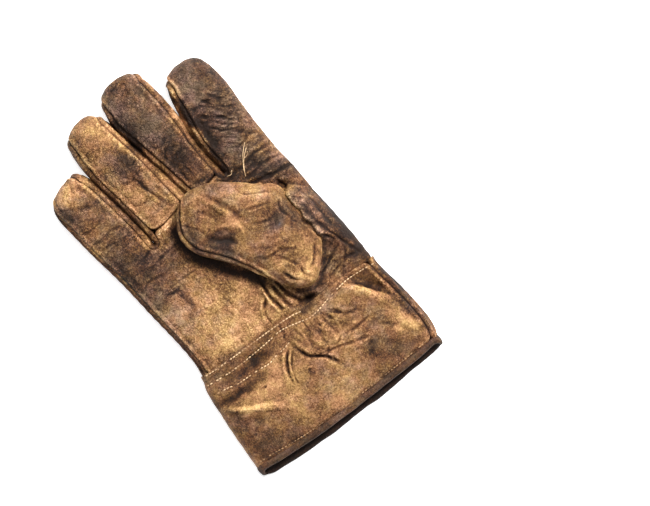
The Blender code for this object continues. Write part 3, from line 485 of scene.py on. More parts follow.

# %% [markdown]
# ## Where the glove is worn, where it is dirty and where shade is painted
# Brown leather rubs to tan and gold where it is handled, and it greys and darkens where oil
# and dirt have soaked in. Some darker patches and lines are painted shade: the thumb's shadow
# on the palm, the pocket and hole beside it, hollows on the cuff and the cuff's left side.
# Each patch is a soft oval with a strength, and its edge is broken up with clouds. One map
# says how light the leather is, and another how cold its brown is.
# They could be painted on a picture, but listed ovals are easy to move and change.

# %% Patches of wear and dirt
# x, y, half width, half length, lean in degrees, lighter or darker, colder
PATCHES = {
    "hand": [
        # little finger
        (-57, 91, 10, 9, 0, 0.22, -0.2), (-67, 79, 7, 9, 10, -0.34, 0.5),
        (-47, 73, 6, 7, 0, -0.14, 0.3), (-45, 90, 4, 9, 0, -0.10, 0.0),
        (-52, 50, 14, 12, 0, -0.10, 0.1), (-58, 64, 9, 10, 0, -0.08, 0.0),
        (-51, 70, 6, 6, 0, -0.22, 0.0), (-44, 93, 2.5, 8, 0, 0.30, -0.2),
        # ring finger
        (-25, 112, 12, 12, 0, 0.08, -0.2), (-26, 58, 10, 14, 0, 0.10, -0.1),
        (-17, 85, 7, 6, -30, -0.36, 0.3), (-16.5, 70, 3.2, 9, -12, -0.36, 0.3),
        (-27, 84, 6, 12, 0, 0.05, 0.2), (-12, 92, 2.6, 22, 6, 0.20, -0.2),
        (-22, 66, 4, 8, -20, 0.06, -0.3), (-20, 37, 13, 4, 0, 0.00, -0.5),
        (-24, 37.5, 11, 2.4, 10, 0.34, -0.7), (-37.5, 36.5, 4.5, 5, 0, 0.26, -0.5),
        (-24, 44.5, 12, 2, 5, 0.12, -0.5), (-6.5, 104, 2.4, 18, 4, -0.50, 0.0),
        (-3.6, 86, 2.0, 14, 5, -0.30, 0.0), (-34, 92, 3, 14, 0, -0.06, 0.0),
        (28.5, 94, 2.4, 28, 2, 0.70, -0.4),
        # middle finger
        (12, 70, 11, 12, 0, -0.34, 0.0), (8, 92, 12, 12, 0, 0.02, 0.6), (2, 116, 8, 10, 0, -0.06, 0.5),
        (4, 98, 13, 32, 0, 0.02, 0.0), (-1, 120, 3, 8, 0, 0.12, 0.0), (7, 126, 4, 2, 0, -0.24, 0.0),
        (15, 120, 10, 7, 0, -0.04, 0.1), (-2, 105, 5, 12, 0, -0.24, 0.4),
        (14, 53, 10, 7, 0, -0.06, -0.1), (16, 46, 8, 3.5, 0, -0.36, 0.0),
        (23, 74, 4, 26, 0, 0.05, -0.2), (4, 84, 5, 8, 0, 0.06, -0.3),
        # index finger
        (50, 80, 18, 44, 0, -0.15, 0.6), (46, 98, 6, 14, 0, 0.08, 0.4), (50, 24, 18, 6, -5, -0.34, 0.2),
        (58, 34, 9, 6, 0, 0.06, 0.3), (38, 36, 9, 7, 0, -0.26, 0.0), (44, 54, 7, 10, 0, 0.06, 0.5),
        (35, 86, 3.5, 24, 3, -0.38, -0.2), (36, 57, 3, 10, 0, -0.26, 0.0),
        (33, 62, 3, 24, -4, -0.55, -0.2), (36, 106, 2, 8, 0, 0.60, -0.3),
        (50, 88, 16, 36, 0, 0.0, 0.05), (27.6, 44, 1.8, 9, 10, 0.30, -0.5),
        (52, 110, 8, 4, 0, -0.20, 0.1), (62, 96, 6, 20, 0, -0.14, 0.1), (28, 40, 6, 5, 0, -0.40, 0.0),
        (36, 32, 5, 4, 0, -0.20, 0.0), (52, 37, 12, 3.5, 0, -0.12, 0.1),
        # palm
        (-46, 26, 24, 20, 0, -0.24, 0.2), (-60, 30, 8, 18, 0, -0.10, 0.3),
        (-26, -24, 24, 26, 0, 0.26, -0.3), (-14, -46, 14, 9, 0, 0.12, -0.5),
        (-56, -8, 8, 12, 0, 0.06, 0.35), (-54, 7, 8, 6, 0, -0.24, 0.2), (-22, -8, 8, 7, 0, -0.12, 0.0),
        (-36, -18, 8, 3, 10, -0.12, 0.0), (-52, -34, 5, 4, 0, 0.10, 0.0),
        (-46, -14, 10, 12, 0, 0.12, 0.2), (-42, 2, 5, 2, -20, -0.30, 0.2),
        (-39, -3, 2, 4, 0, -0.30, 0.2), (-39, -10, 2, 4, 20, -0.24, 0.2),
        (-54, -25, 2, 2, 0, -0.2, 0.3), (-45, -17, 2, 2, 0, -0.2, 0.3), (-40, -14, 8, 5, 0, -0.12, 0.1),
        (-55, -40, 7, 6, 0, -0.10, 0.0), (-20, 12, 9, 8, 0, 0.02, -0.2), (-30, 28, 9, 3, -8, 0.16, 0.0),
        (-40, -46, 14, 5, 0, 0.10, -0.3),
        # beside and below the thumb
        (61, -8, 5, 20, 0, -0.16, 0.3), (58, 8, 7, 5, 0, 0.10, -0.1), (61, -34, 6, 10, 0, -0.24, 0.0),
        (69.5, -24, 4.5, 36, 0, -0.62, -0.6), (56, -12, 4, 12, 0, -0.10, 0.2),
        (50, -46, 16, 10, 0, -0.02, 0.2), (8, -42, 8, 10, 0, 0.20, -0.4),
        # (53.4, 13.8) is painted shade in the pocket beside the thumb
        (65, -45, 4, 12, 0, -0.22, 0.3), (53.4, 13.8, 1.4, 3.8, 14, -0.80, 0.0),
        # (20, -54) is painted shade in the hole under the thumb's lobe
        (55, -10, 2.5, 22, 0, -0.20, 0.3), (20, -54, 6, 2.6, -14, -0.60, 0.0),
    ],
    "thumb": [
        (28, 15, 16, 8, -38, -0.10, 0.0), (-17.4, 24, 1.8, 14, -4, 0.40, -0.4),
        (-9.4, 1, 1.8, 14, 34, 0.40, -0.4), (4.4, -21, 1.8, 16, 31, 0.36, -0.4),
        (45, -10, 5, 6, 0, -0.26, 0.1), (40, 19, 3.5, 13, 53, 0.16, 0.1), (20, 22, 5, 4, 0, 0.14, 0.0),
        (-1, -1, 4, 7, 45, -0.16, 0.5), (43, 7, 5, 3, 40, 0.08, 0.1), (-13, 26, 6, 14, 0, -0.38, 0.5),
        (1, 8, 9, 7, -20, -0.40, 0.6), (3, 36, 7, 8, 0, -0.02, -0.2), (14.5, 11, 4, 9, 0, 0.18, -0.9),
        (8, 22, 7, 6, 0, 0.02, -0.5), (32, -1, 11, 6, 0, -0.26, 0.5), (35.5, -6, 4.5, 4, 0, 0.0, 1.3),
        (18, -14, 10, 6, -30, -0.06, 0.4), (33, -18, 10, 8, 0, -0.02, 0.0),
        (44, -25, 9, 9, 0, 0.04, -0.6), (31, -40, 9, 6, 0, 0.26, -0.4), (18, -24, 5, 4, 0, 0.22, -0.3),
        (36, 20, 5, 4, 0, 0.10, 0.0), (20, 38, 8, 5, -30, -0.04, 0.5), (42, 17, 9, 5, -40, 0.04, 0.1),
        (24, 26, 8, 8, 0, 0.10, 0.2), (-8, -1, 5, 12, 40, -0.10, 0.3), (50, -14, 5, 16, 0, -0.08, 0.0),
        (24, 0, 6, 8, 0, 0.08, -0.2), (46, 10, 4, 4, 0, -0.10, 0.0), (0, 43, 9, 4, 0, 0.12, 0.2),
    ],
    "cuff": [
        (-30, -82, 20, 12, 0, 0.16, -0.2), (14, -104, 26, 12, 0, 0.14, 0.1),
        (-30, -108, 14, 7, 0, 0.08, 0.0), (0, -98, 7, 8, 0, -0.12, 0.0),
        # (20, -58) is painted shade on the cuff's edge just below that hole
        (20, -58, 6, 2.6, 0, -0.50, 0.0), (28, -87, 16, 4, -5, 0.12, 0.0),
        (36, -97, 5, 3, 0, 0.16, 0.0), (-60, -102, 12, 18, 0, -0.14, 0.1),
        (46, -106, 18, 12, 0, -0.14, 0.1), (61, -104, 5, 13, 6, 0.42, -0.5),
        # (-30, -63) and (-52, -72.5) are painted shade in the hollows between the cuff's stitch rows
        (69, -104, 2.5, 14, 2, -0.30, 0.0), (-30, -63, 16, 4.0, -2, -0.40, -0.4),
        (-52, -72.5, 17, 3.6, -5, -0.40, -0.4), (-34, -73, 14, 5, 0, -0.12, -0.2),
        (-16, -58, 10, 2.5, 0, -0.16, -0.2), (10, -62, 12, 6, 0, -0.12, -0.1),
        (-57, -82, 7, 4, 0, -0.14, 0.0), (-44, -56, 16, 3, -2, -0.02, 0.0),
        (6, -66, 10, 10, 0, 0.06, -0.4), (34, -64, 16, 6, -10, 0.08, 0.4),
        (-43, -89, 2.2, 24, 57, 0.16, -0.1), (-58, -93, 14, 10, 0, -0.06, 0.0),
        (61, -69, 6, 12, 30, -0.02, -0.3), (50, -71, 4, 13, 34, 0.10, -0.1),
        (71, -75, 4, 24, 5, -0.48, 0.3), (-70, -95, 5, 34, 0, 0.34, -0.2),
        (-20, -106, 5, 4, 0, 0.10, 0.0), (61, -72, 6, 12, 30, -0.16, -0.4),
        (57, -63, 8, 4, -30, -0.14, -0.2), (59, -73, 4, 6, 30, 0.14, -0.4),
        (-43, -89, 1.4, 22, 57, 0.16, -0.1), (24, -82, 14, 5, 0, 0.05, -0.5),
        (35, -102, 5, 4, 30, -0.22, 0.2), (-4, -89, 1.6, 1.6, 0, -0.30, 0.0),
        (-13, -94, 5, 3, 0, -0.12, 0.1), (-62, -86, 7, 6, 0, -0.06, 0.0),
        (-45, -112, 14, 7, 0, -0.10, 0.2), (-64, -117, 6, 6, 0, -0.14, 0.3),
        (10, -117, 22, 5, 0, 0.02, 0.0), (-22, -96, 8, 7, 0, 0.10, -0.1),
        (42, -90, 12, 5, 0, -0.06, 0.0), (60, -115, 6, 5, 0, -0.16, 0.2),
    ],
    "back": [
        (-71, 22, 6, 60, -4, 0.36, -0.2), (-63, -30, 4, 26, 0, 0.40, 0.2),
        (-10, 90, 60, 34, 0, -0.10, 0.2), (0, 0, 40, 34, 0, 0.12, -0.1),
        (-40, -30, 16, 18, 0, -0.10, 0.3), (30, -30, 18, 16, 0, 0.10, -0.2),
    ],
}

# darker, colder, half width, and the places that a dark line runs through; some lines are painted
# shade, the others grime and dark seams
SHADE_AND_GRIME = {
    "hand": [
        # the thumb's painted shadow on the palm, dark along its left edge and fading wider
        (0.55, -0.5, 3.6, [(-18, 31), (-18.6, 18), (-13, 5), (-4, -11), (5, -26)]),
        (0.12, -0.4, 8.0, [(-16, 6), (-6, -12), (2, -24)]),
        # painted shade along the thumb's lower edge, where it lies on the palm
        (0.34, 0.0, 1.6, [(19, -45), (24, -49), (31, -50), (40, -45), (49, -36),
                          (54, -27)]),
        (0.24, 0.2, 1.6, [(-63.5, 28), (-62, 6), (-60, -20), (-58.6, -48)]),
    ],
    "thumb": [],
    "cuff": [
        (0.22, -0.2, 1.4, [(-64, -118.4), (-46, -118.6), (-28, -121), (0, -122), (64, -121.4)]),
        # painted shade down the cuff's left side, which faces away from the light
        (0.20, 0.2, 2.2, [(-72, -112), (-70, -96), (-68, -80), (-66, -64)]),
    ],
    "back": [],
}


EDGE_WANDER = 3.4         # how far clouds push a patch's edge about
EDGE_BREAK = 1.6          # and how far small lumps do
OVERALL = -0.035          # the whole glove is this much darker than its patches say


def age(points, part, tone, cold):
    """How light and how cold the leather is at each point, from the part's patches and dark lines, some
    of which are painted shade.
    """
    blur = np.column_stack([lumps(points, 9.0, 11), lumps(points, 9.0, 12),
                            np.zeros(len(points))])
    fine = np.column_stack([lumps(points, 3.6, 13), lumps(points, 3.6, 14),
                            np.zeros(len(points))])
    spread = points + EDGE_WANDER * blur + EDGE_BREAK * fine
    tone = tone + 0.13 * clouds(points, 16.0, 21) + 0.11 * clouds(points, 5.0, 25, 3) + OVERALL
    cold = cold + 0.35 * clouds(points, 14.0, 31)
    broken = np.clip(1 + 0.9 * clouds(points, 6.0, 35), 0, 2)
    for x, y, wide, long, lean, lighter, colder in PATCHES[part]:
        spot = soft_spot(spread, x, y, wide, long, lean)
        tone = tone + lighter * spot * broken
        cold = cold + colder * spot
    for darker, colder, wide, places in SHADE_AND_GRIME[part]:
        strip = np.exp(-(beside(spread * 0.5 + points * 0.5, rounded(places))[0] / wide) ** 2)
        tone = tone - darker * strip
        cold = cold + colder * strip
    return tone, cold


print("patches of wear and dirt:", {part: len(spots) for part, spots in PATCHES.items()})

# %% [markdown]
# ## From a frame node to a fine sheet
# A node of the frame is a closed leather wall made of flat triangles. Its outer face is the
# largest stretch that has no sharp turn in it, and that is all the shape that is needed:
# subdividing it gives smooth leather with points about half a millimetre apart, or a
# millimetre on the back. The side towards the hand isn't seen closely, so a coarser copy of
# the sheet makes it, and a rim joins them.

# %% The outer face of a node
SHARP_TURN = math.radians(60)
LONGEST_EDGE = 10.5 * MM  # before subdividing


def outer_face(node):
    """The outer face of a node's closed wall, as a mesh with no very long edges."""
    bm = bmesh.new()
    bm.from_mesh(bpy.data.objects[node].data)
    bmesh.ops.remove_doubles(bm, verts=bm.verts, dist=1e-6)
    groups = []
    waiting = set(bm.faces)
    while waiting:
        front = [waiting.pop()]
        group = set(front)
        while front:
            for edge in front.pop().edges:
                if edge.calc_face_angle(math.pi) > SHARP_TURN:
                    continue
                fresh = [f for f in edge.link_faces if f in waiting]
                waiting.difference_update(fresh)
                group.update(fresh)
                front.extend(fresh)
        groups.append(group)
    outer = max(groups, key=lambda group: sum(face.calc_area() for face in group))
    bmesh.ops.delete(bm, geom=[f for f in bm.faces if f not in outer], context="FACES")
    for _ in range(3):
        long_edges = [e for e in bm.edges if e.calc_length() > LONGEST_EDGE]
        bmesh.ops.subdivide_edges(bm, edges=long_edges, cuts=1)
        bmesh.ops.triangulate(bm, faces=bm.faces)
    mesh = bpy.data.meshes.new(node + "_outer")
    bm.to_mesh(mesh)
    bm.free()
    return mesh


def subdivided(mesh, levels):
    """Points, normals, faces and edges of the mesh, subdivided and rounded."""
    piece = add_object("subdividing", mesh)
    modifier = piece.modifiers.new("Subdivision", "SUBSURF")
    modifier.levels = modifier.render_levels = levels
    fine = bpy.data.meshes.new_from_object(
        piece.evaluated_get(bpy.context.evaluated_depsgraph_get()))
    places = np.zeros((len(fine.vertices), 3))
    fine.vertices.foreach_get("co", places.ravel())
    normals = np.array([n.vector for n in fine.vertex_normals])
    faces = [tuple(face.vertices) for face in fine.polygons]
    edges = np.array([edge.vertices[:] for edge in fine.edges])
    bpy.data.objects.remove(piece)
    bpy.data.meshes.remove(fine)
    return places, normals, faces, edges


def border_steps(faces):
    """For each point on the border of the faces, the next one along it."""
    sides = {(a, b) for face in faces for a, b in zip(face, face[1:] + face[:1])}
    return {a: b for a, b in sides if (b, a) not in sides}


def in_order(steps, wanted):
    """The longest run of wanted points along the border, in order."""
    before = {b: a for a, b in steps.items()}
    runs = []
    for start in [p for p in wanted if before[p] not in wanted]:
        run = [start]
        while steps[run[-1]] in wanted:
            run.append(steps[run[-1]])
        runs.append(run)
    return max(runs, key=len) if runs else []


def nearest(points, targets):
    """Distance from each point to the nearest target, and that target's number."""
    tree = KDTree(len(targets))
    for i, target in enumerate(targets):
        tree.insert(target, i)
    tree.balance()
    found = [tree.find(point)[1:] for point in points]
    return np.array([f[1] for f in found]), np.array([f[0] for f in found])


# %% [markdown]
# ## The relief of a sheet
# The leather's relief moves its points along the surface's normal: the seams roll in and
# stand up a little beside the stitching, creases and wrinkles sink, and slow lumps keep any
# stretch from being quite flat. What sinks is painted darker, as its shade and as dirt, and
# what stands proud is rubbed light, so the same numbers also drive the colours. Displace
# modifiers could move the points, but they can't ask how far a point is from a seam.

# %% Relief
SEAM_ROLL, ROLL_WIDTH = 0.85, 0.65    # how far the leather rolls in at a seam
SEAM_WELT = 0.45          # and stands up beside it,
WELT_AT, WELT_WIDTH = 2.2, 1.1        # most of all this far from the seam
SUNK, SUNK_AT, SUNK_WIDTH = 0.25, 4.6, 1.2    # and how it sinks again beyond
SIDE_BULGE = 0.5          # subdividing draws the sides in, and this puts them back
FULL_DEPTH_RATE = 4.5     # a crease is fully deep after 1 / 4.5 of its length
BANK, BANK_AT = 0.32, 2.0             # a crease's banks: share of its depth, and widths away
THUMB_HOLE = (34, -6, 11, 20)         # middle and half sizes
SLACK, SLACK_SIZE = 0.45, 11.0    # height and size of the slow lumps
ROUGH, ROUGH_SIZE = 0.14, 3.2     # and of the small ones
LAP = 0.9                 # the cuff's top edge stands this much over the palm,
LAP_WIDTH = 2.2           # within this of the wrist line,
LAP_REACH = 1.3           # and reaches this much further up it
WRIST_LINE = [(-62, -52.2), (-20, -52.8), (2, -54.0), (15, -56.4), (44, -56.6), (71, -58)]
HEM_Y = -115.0            # below this the cuff's edge is under the binding
FAR = 99.0                # a distance past which no edge is felt


def wrist_y(x):
    """Where the wrist seam lies on the drawing."""
    return np.interp(x, [p[0] for p in WRIST_LINE], [p[1] for p in WRIST_LINE])


def crease_relief(points, part):
    """The height that the listed creases give, and how closed they are."""
    height = np.zeros(len(points))
    closed = np.zeros(len(points))
    wobble = 0.7 * lumps(points, 5.0, 51) + 0.35 * lumps(points, 2.0, 52)
    uneven = 1 + 0.45 * lumps(points, 6.0, 53)
    for depth, width, places in CREASES[part]:
        line = rounded(places)
        middle, reach = line.mean(axis=0), np.ptp(line, axis=0).max() / 2 + 6 * width
        near = np.flatnonzero(np.hypot(*(points[:, :2] - middle).T) < reach * 1.5)
        apart, share = beside(points[near], line)
        apart = np.abs(apart + wobble[near] * (apart > 0.2))
        from_end = np.minimum(share, 1 - share)
        fade = np.sqrt(np.clip(FULL_DEPTH_RATE * from_end, 0, 1)) * uneven[near]
        inside = np.exp(-(apart / width) ** 2) * fade
        beyond = np.exp(-((apart - BANK_AT * width) / width) ** 2) * fade
        height[near] += -depth * inside + BANK * max(depth, 0) * beyond
        # how closed a crease is: narrow deep creases get the most painted shade
        closed[near] += 0.55 * max(depth, 0) * inside ** 2 / max(1.0, width ** 2)
    return height, closed


def seam_relief(points, apart):
    """The height beside a seam, at a distance from it."""
    pucker = 1 + 0.7 * lumps(points, 2.6, 71) + 0.4 * lumps(points, 7.0, 72)
    roll = -SEAM_ROLL * np.exp(-(apart / ROLL_WIDTH) ** 2)
    welt = SEAM_WELT * pucker * np.exp(-((apart - WELT_AT) / WELT_WIDTH) ** 2)
    sunk = -SUNK * pucker * np.exp(-((apart - SUNK_AT) / SUNK_WIDTH) ** 2)
    return roll + welt + sunk


def convexity(places, normals, edges, rounds=4):
    """How much each point stands out from its neighbours, smoothed a little."""
    count = len(places)
    a, b = edges.T
    uses = np.bincount(a, minlength=count) + np.bincount(b, minlength=count)

    def spread(values):
        total = np.zeros_like(values)
        for i in range(values.shape[1]):
            total[:, i] = (np.bincount(a, values[b, i], count)
                           + np.bincount(b, values[a, i], count))
        return total / uses[:, None]

    around = places
    for _ in range(rounds):
        around = spread(around)
    out = np.sum((places - around) * normals, axis=1)[:, None]
    for _ in range(2):
        out = 0.5 * out + 0.5 * spread(out)
    return out[:, 0]


def lowest_near(height, edges, rounds=7):
    """The lowest height within a few points of each point."""
    low = height.copy()
    for _ in range(rounds):
        before = low.copy()
        np.minimum.at(low, edges[:, 0], before[edges[:, 1]])
        np.minimum.at(low, edges[:, 1], before[edges[:, 0]])
    return low


print("the wrist seam's height on the drawing, left to right:", [p[1] for p in WRIST_LINE])

# %% [markdown]
# ## Making a leather piece
# A piece's border is sorted first: most of it is seams, some lies on the wrist line, and some
# is under another piece and needs no finish. Its distances from those give the relief, and
# the relief, with the part's creases and wrinkles, gives the height of every point.

# %% The border and the height of a sheet
LEATHER = 1.3             # millimetres thick
LEAST_GAP = 0.25          # the inner side stays this much above the table
# how light and how cold the strips between the fingers are
FOURCHETTES = {"fourchette_little_ring": (0.40, 0.1), "fourchette_ring_middle": (0.60, -0.3),
               "fourchette_middle_index": (0.36, -0.1)}


def flat_lift(points):
    """No lift, for pieces that keep the frame's form."""
    return np.zeros((len(points), 3))


def sorted_border(points, node, border):
    """Border points that are seams, those on the wrist line and those under something."""
    x, y, z = points[border].T
    on_wrist = (np.abs(y - wrist_y(x)) < 1.0) & (node in ("palm", "cuff", "back"))
    hidden = np.zeros(len(border), bool)
    if node == "palm":
        middle_x, middle_y, wide, long = THUMB_HOLE
        hidden = np.hypot((x - middle_x) / wide, (y - middle_y) / long) < 1
    if node == "cuff":
        side_seam = (x > 60) & (z > 6) & (y > -121)
        hidden = (y < HEM_Y) & ~side_seam
    return border[~on_wrist & ~hidden], border[on_wrist], set(border[hidden].tolist())


def edge_distances(points, normals, seams, wrist):
    """How far each point is from a seam and from the wrist line."""
    apart = np.full(len(points), FAR)
    if len(seams):
        apart, nearest_seam = nearest(points, points[seams])
        apart += 0.75 * (normals[seams][nearest_seam][:, 2] > 0.9)
    from_wrist = np.full(len(points), FAR)
    if len(wrist):
        from_wrist = nearest(points, points[wrist])[0]
    return apart, from_wrist


def sheet_relief(points, normals, node, part, apart, from_wrist):
    """The height of every point, how closed its creases are, and how deep its wrinkles."""
    upwards = -normals[:, 2] if part == "back" else normals[:, 2]
    facing = step_up(upwards, 0.0, 0.5)
    clear = step_up(apart, 0.6, 3.0)
    creases, closed = crease_relief(points, part)
    wrinkles = wrinkle_depth(points, part)
    bulge = 2 * SIDE_BULGE if node in FOURCHETTES else SIDE_BULGE
    height = seam_relief(points, apart) + bulge * (1 - np.abs(normals[:, 2])) * clear
    height = height + facing * clear * (creases - wrinkles)
    height = height + SLACK * lumps(points, SLACK_SIZE, 81) * clear
    height = height + ROUGH * lumps(points, ROUGH_SIZE, 82)
    edge_lap = LAP if node == "cuff" else -LAP
    height = height + edge_lap * np.exp(-(from_wrist / LAP_WIDTH) ** 2)
    return height, closed * facing * clear, wrinkles * facing


# %% [markdown]
# The side towards the hand is set in by the leather's thickness, and by more where the front
# sinks, so that a deep crease never breaks through it. It has far fewer points than the front,
# so the rim that joins them is made of faces with several points along the front.

# %% The side towards the hand
def inner_side(outer, places, normals, edges, steps, formed, height):
    """The inner side's points, and its faces and the rim's, numbered after the front's."""
    coarse, _, coarse_faces, _ = subdivided(outer, 1)
    _, twins = nearest(coarse, places)
    depth = LEATHER + np.maximum(height - lowest_near(height, edges), 0.0)
    inner = formed[twins] - normals[twins] * depth[twins][:, None]
    inner[:, 2] = np.maximum(inner[:, 2], LEAST_GAP)
    count = len(formed)
    stop_at = {int(twin): i + count for i, twin in enumerate(twins)}
    rims = []
    for start in [b for b in steps if b in stop_at]:
        chain = [start, steps[start]]
        while chain[-1] not in stop_at:
            chain.append(steps[chain[-1]])
        rims.append(tuple(chain[::-1]) + (stop_at[chain[0]], stop_at[chain[-1]]))
    lining = [tuple(i + count for i in reversed(face)) for face in coarse_faces]
    return inner, lining + rims


# %% [markdown]
# One function then takes a node all the way: its outer face, subdivided, gets its relief and
# its lift, its inner side and rim close it, and four maps are stored on its points for the
# material: how light, how cold and how rubbed the leather is there, and how much painted
# shade and dirt darken its creases, hollows and seams.

# %% A leather piece
HIDDEN_EDGES = {}
# the maps' values on the side towards the hand
INSIDE = {"lightness": 0.42, "coldness": 0.1, "shade_and_dirt": 0.2, "rub": 0.0}


def store(mesh, maps):
    """Keeps maps of numbers on the mesh's points."""
    for label, values in maps.items():
        mesh.attributes.new(label, "FLOAT", "POINT").data.foreach_set("value", values)


def leather_piece(name, node, part, tone, cold, levels=3, lift=flat_lift):
    """Makes, ages and places the leather piece that stands for a node."""
    outer = outer_face(node)
    places, normals, faces, edges = subdivided(outer, levels)
    points = on_drawing(places)
    steps = border_steps(faces)
    seams, wrist, under = sorted_border(points, node, np.array(sorted(steps)))
    apart, from_wrist = edge_distances(points, normals, seams, wrist)
    height, closed, wrinkles = sheet_relief(points, normals, node, part, apart, from_wrist)

    formed = points + normals * height[:, None] + lift(points)
    if node == "cuff":
        formed[:, 1] += LAP_REACH * np.exp(-(from_wrist / 2.0) ** 2)
    formed[:, 2] = np.maximum(formed[:, 2], 0.0)
    HIDDEN_EDGES[name] = formed[in_order(steps, under)]
    inner, inner_faces = inner_side(outer, places, normals, edges, steps, formed, height)
    mesh = bpy.data.meshes.new(name)
    mesh.from_pydata(in_frame(np.vstack([formed, inner])), [], faces + inner_faces)
    mesh.shade_smooth()

    out = convexity(formed, normals, edges)
    maps = dict(zip(("lightness", "coldness"), age(points, part, tone, cold)))
    # painted shade and dirt together: darker in closed creases, wrinkles, hollows and along seams
    maps["shade_and_dirt"] = np.clip(closed + 0.5 * wrinkles + np.clip(-out, 0, 1) * 1.6
                           + 0.6 * np.exp(-(apart / 0.5) ** 2), 0, 1.5)
    beside_seam = np.exp(-((apart - WELT_AT) / WELT_WIDTH) ** 2)
    maps["rub"] = np.clip(np.clip(out, 0, 1) * 2.2 + 0.5 * beside_seam, 0, 1.5)
    store(mesh, {label: np.append(outside, np.full(len(inner), INSIDE[label]))
                 for label, outside in maps.items()})

    piece = add_object(name, mesh)
    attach(piece, "root")
    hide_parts(node)
    mesh.calc_loop_triangles()
    print(name, "triangles:", len(mesh.loop_triangles))
    return piece

# %% [markdown]
# ## The leather's finish
# Two effects are shared by every leather, so each is a node group. The grain is a fine net of
# cells with pores in it. The ageing turns lightness and coldness into browns, with finer
# mottling than the points can hold, painted shade and dirt in what sinks, bare tan on what
# stands proud, small bright scuffs and dark specks.

# %% Node helpers
def new_group(name, inputs, outputs):
    """A shader node group with these inputs, given with their values, and outputs."""
    group = bpy.data.node_groups.new(name, "ShaderNodeTree")
    for label, value in inputs.items():
        kind = {float: "NodeSocketFloat", tuple: "NodeSocketColor"}.get(type(value))
        socket = group.interface.new_socket(label, in_out="INPUT",
                                            socket_type=kind or "NodeSocketVector")
        if kind:
            socket.default_value = value
    for label, kind in outputs.items():
        group.interface.new_socket(label, in_out="OUTPUT", socket_type="NodeSocket" + kind)
    return group, group.nodes.new("NodeGroupInput"), group.nodes.new("NodeGroupOutput")


def put(tree, kind, links=(), **values):
    """Adds a node; values set its properties, and links its inputs by number or name."""
    node = tree.nodes.new("ShaderNode" + kind)
    for label, value in values.items():
        setattr(node, label, value)
    for socket, source in dict(links).items():
        if hasattr(source, "is_output"):
            tree.links.new(source, node.inputs[socket])
        else:
            node.inputs[socket].default_value = source
    return node


def math_node(tree, operation, *values, clamp=False):
    """The result of a Math node."""
    return put(tree, "Math", dict(enumerate(values)), operation=operation,
               use_clamp=clamp).outputs[0]


def spread_to(tree, value, low, high, to_low=0.0, to_high=1.0):
    """A value between low and high, spread smoothly to another span."""
    links = {"Value": value, "From Min": low, "From Max": high, "To Min": to_low,
             "To Max": to_high}
    return put(tree, "MapRange", links, interpolation_type="SMOOTHSTEP").outputs[0]


def blend_colour(tree, share, first, second, way="MIX"):
    """Two colours mixed by a share."""
    node = put(tree, "Mix", data_type="RGBA", blend_type=way)
    for number, source in ((0, share), (6, first), (7, second)):
        if hasattr(source, "is_output"):
            tree.links.new(source, node.inputs[number])
        else:
            node.inputs[number].default_value = source
    return node.outputs[2]


def noise_node(tree, place, scale, detail=3.0, rough=0.55, distortion=0.0):
    """Noise of a scale per metre."""
    links = {"Vector": place, "Scale": scale, "Detail": detail, "Roughness": rough,
             "Distortion": distortion}
    return put(tree, "TexNoise", links).outputs["Fac"]


# %% [markdown]
# Real grain is small pebbles with folds between them. Bent cells of two sizes make them, and
# the lines between the cells go to the ageing too, because dirt stays in them.

# %% Leather grain
BEND = 0.0012             # how far the cells are bent, in metres
grain, grain_in, grain_out = new_group(
    "leather_grain", {"Place": None, "Cell": 900.0, "Coarseness": 0.5},
    {"Height": "Float", "Pores": "Float", "Cracks": "Float"})
bend = put(grain, "TexNoise", {"Vector": grain_in.outputs["Place"], "Scale": 420.0})
bent = put(grain, "VectorMath", {0: bend.outputs["Color"], 1: (BEND, BEND, BEND)},
           operation="MULTIPLY").outputs[0]
bent = put(grain, "VectorMath", {0: grain_in.outputs["Place"], 1: bent}, operation="ADD").outputs[0]
cells = put(grain, "TexVoronoi", {"Vector": bent, "Scale": grain_in.outputs["Cell"]},
            feature="DISTANCE_TO_EDGE").outputs["Distance"]
pebbles = spread_to(grain, cells, 0.0, 0.22)
coarse_cells = put(grain, "TexVoronoi", {"Vector": bent, "Scale": 330.0},
                   feature="DISTANCE_TO_EDGE").outputs["Distance"]
folds = spread_to(grain, coarse_cells, 0.0, 0.16)
fuzz = noise_node(grain, grain_in.outputs["Place"], 1500.0, 4.0, 0.65)
height = math_node(grain, "MULTIPLY", folds, grain_in.outputs["Coarseness"])
height = math_node(grain, "ADD", height, math_node(grain, "MULTIPLY", pebbles, 0.45))
height = math_node(grain, "ADD", height, math_node(grain, "MULTIPLY", fuzz, 0.5))
pore_noise = noise_node(grain, grain_in.outputs["Place"], 780.0, 2.0, 0.6)
pores = spread_to(grain, pore_noise, 0.64, 0.72)
height = math_node(grain, "SUBTRACT", height, math_node(grain, "MULTIPLY", pores, 0.5))
grain.links.new(height, grain_out.inputs["Height"])
grain.links.new(pores, grain_out.inputs["Pores"])
cracks = math_node(grain, "SUBTRACT", 1.0, spread_to(grain, cells, 0.0, 0.16))
wide_cracks = math_node(grain, "SUBTRACT", 1.0, spread_to(grain, coarse_cells, 0.0, 0.07))
grain.links.new(math_node(grain, "MAXIMUM", cracks, wide_cracks), grain_out.inputs["Cracks"])
print("grain nodes:", len(grain.nodes))

# %% [markdown]
# Brown leather's shades lie on one line from nearly black to pale tan, so the ageing group
# reads a colour ramp at the lightness that the point carries, after finer mottling has moved
# it up or down. Cold patches are mottled less, and swap to a greyer ramp. Where the coldness
# goes well past 1 there is a blue-grey stain.

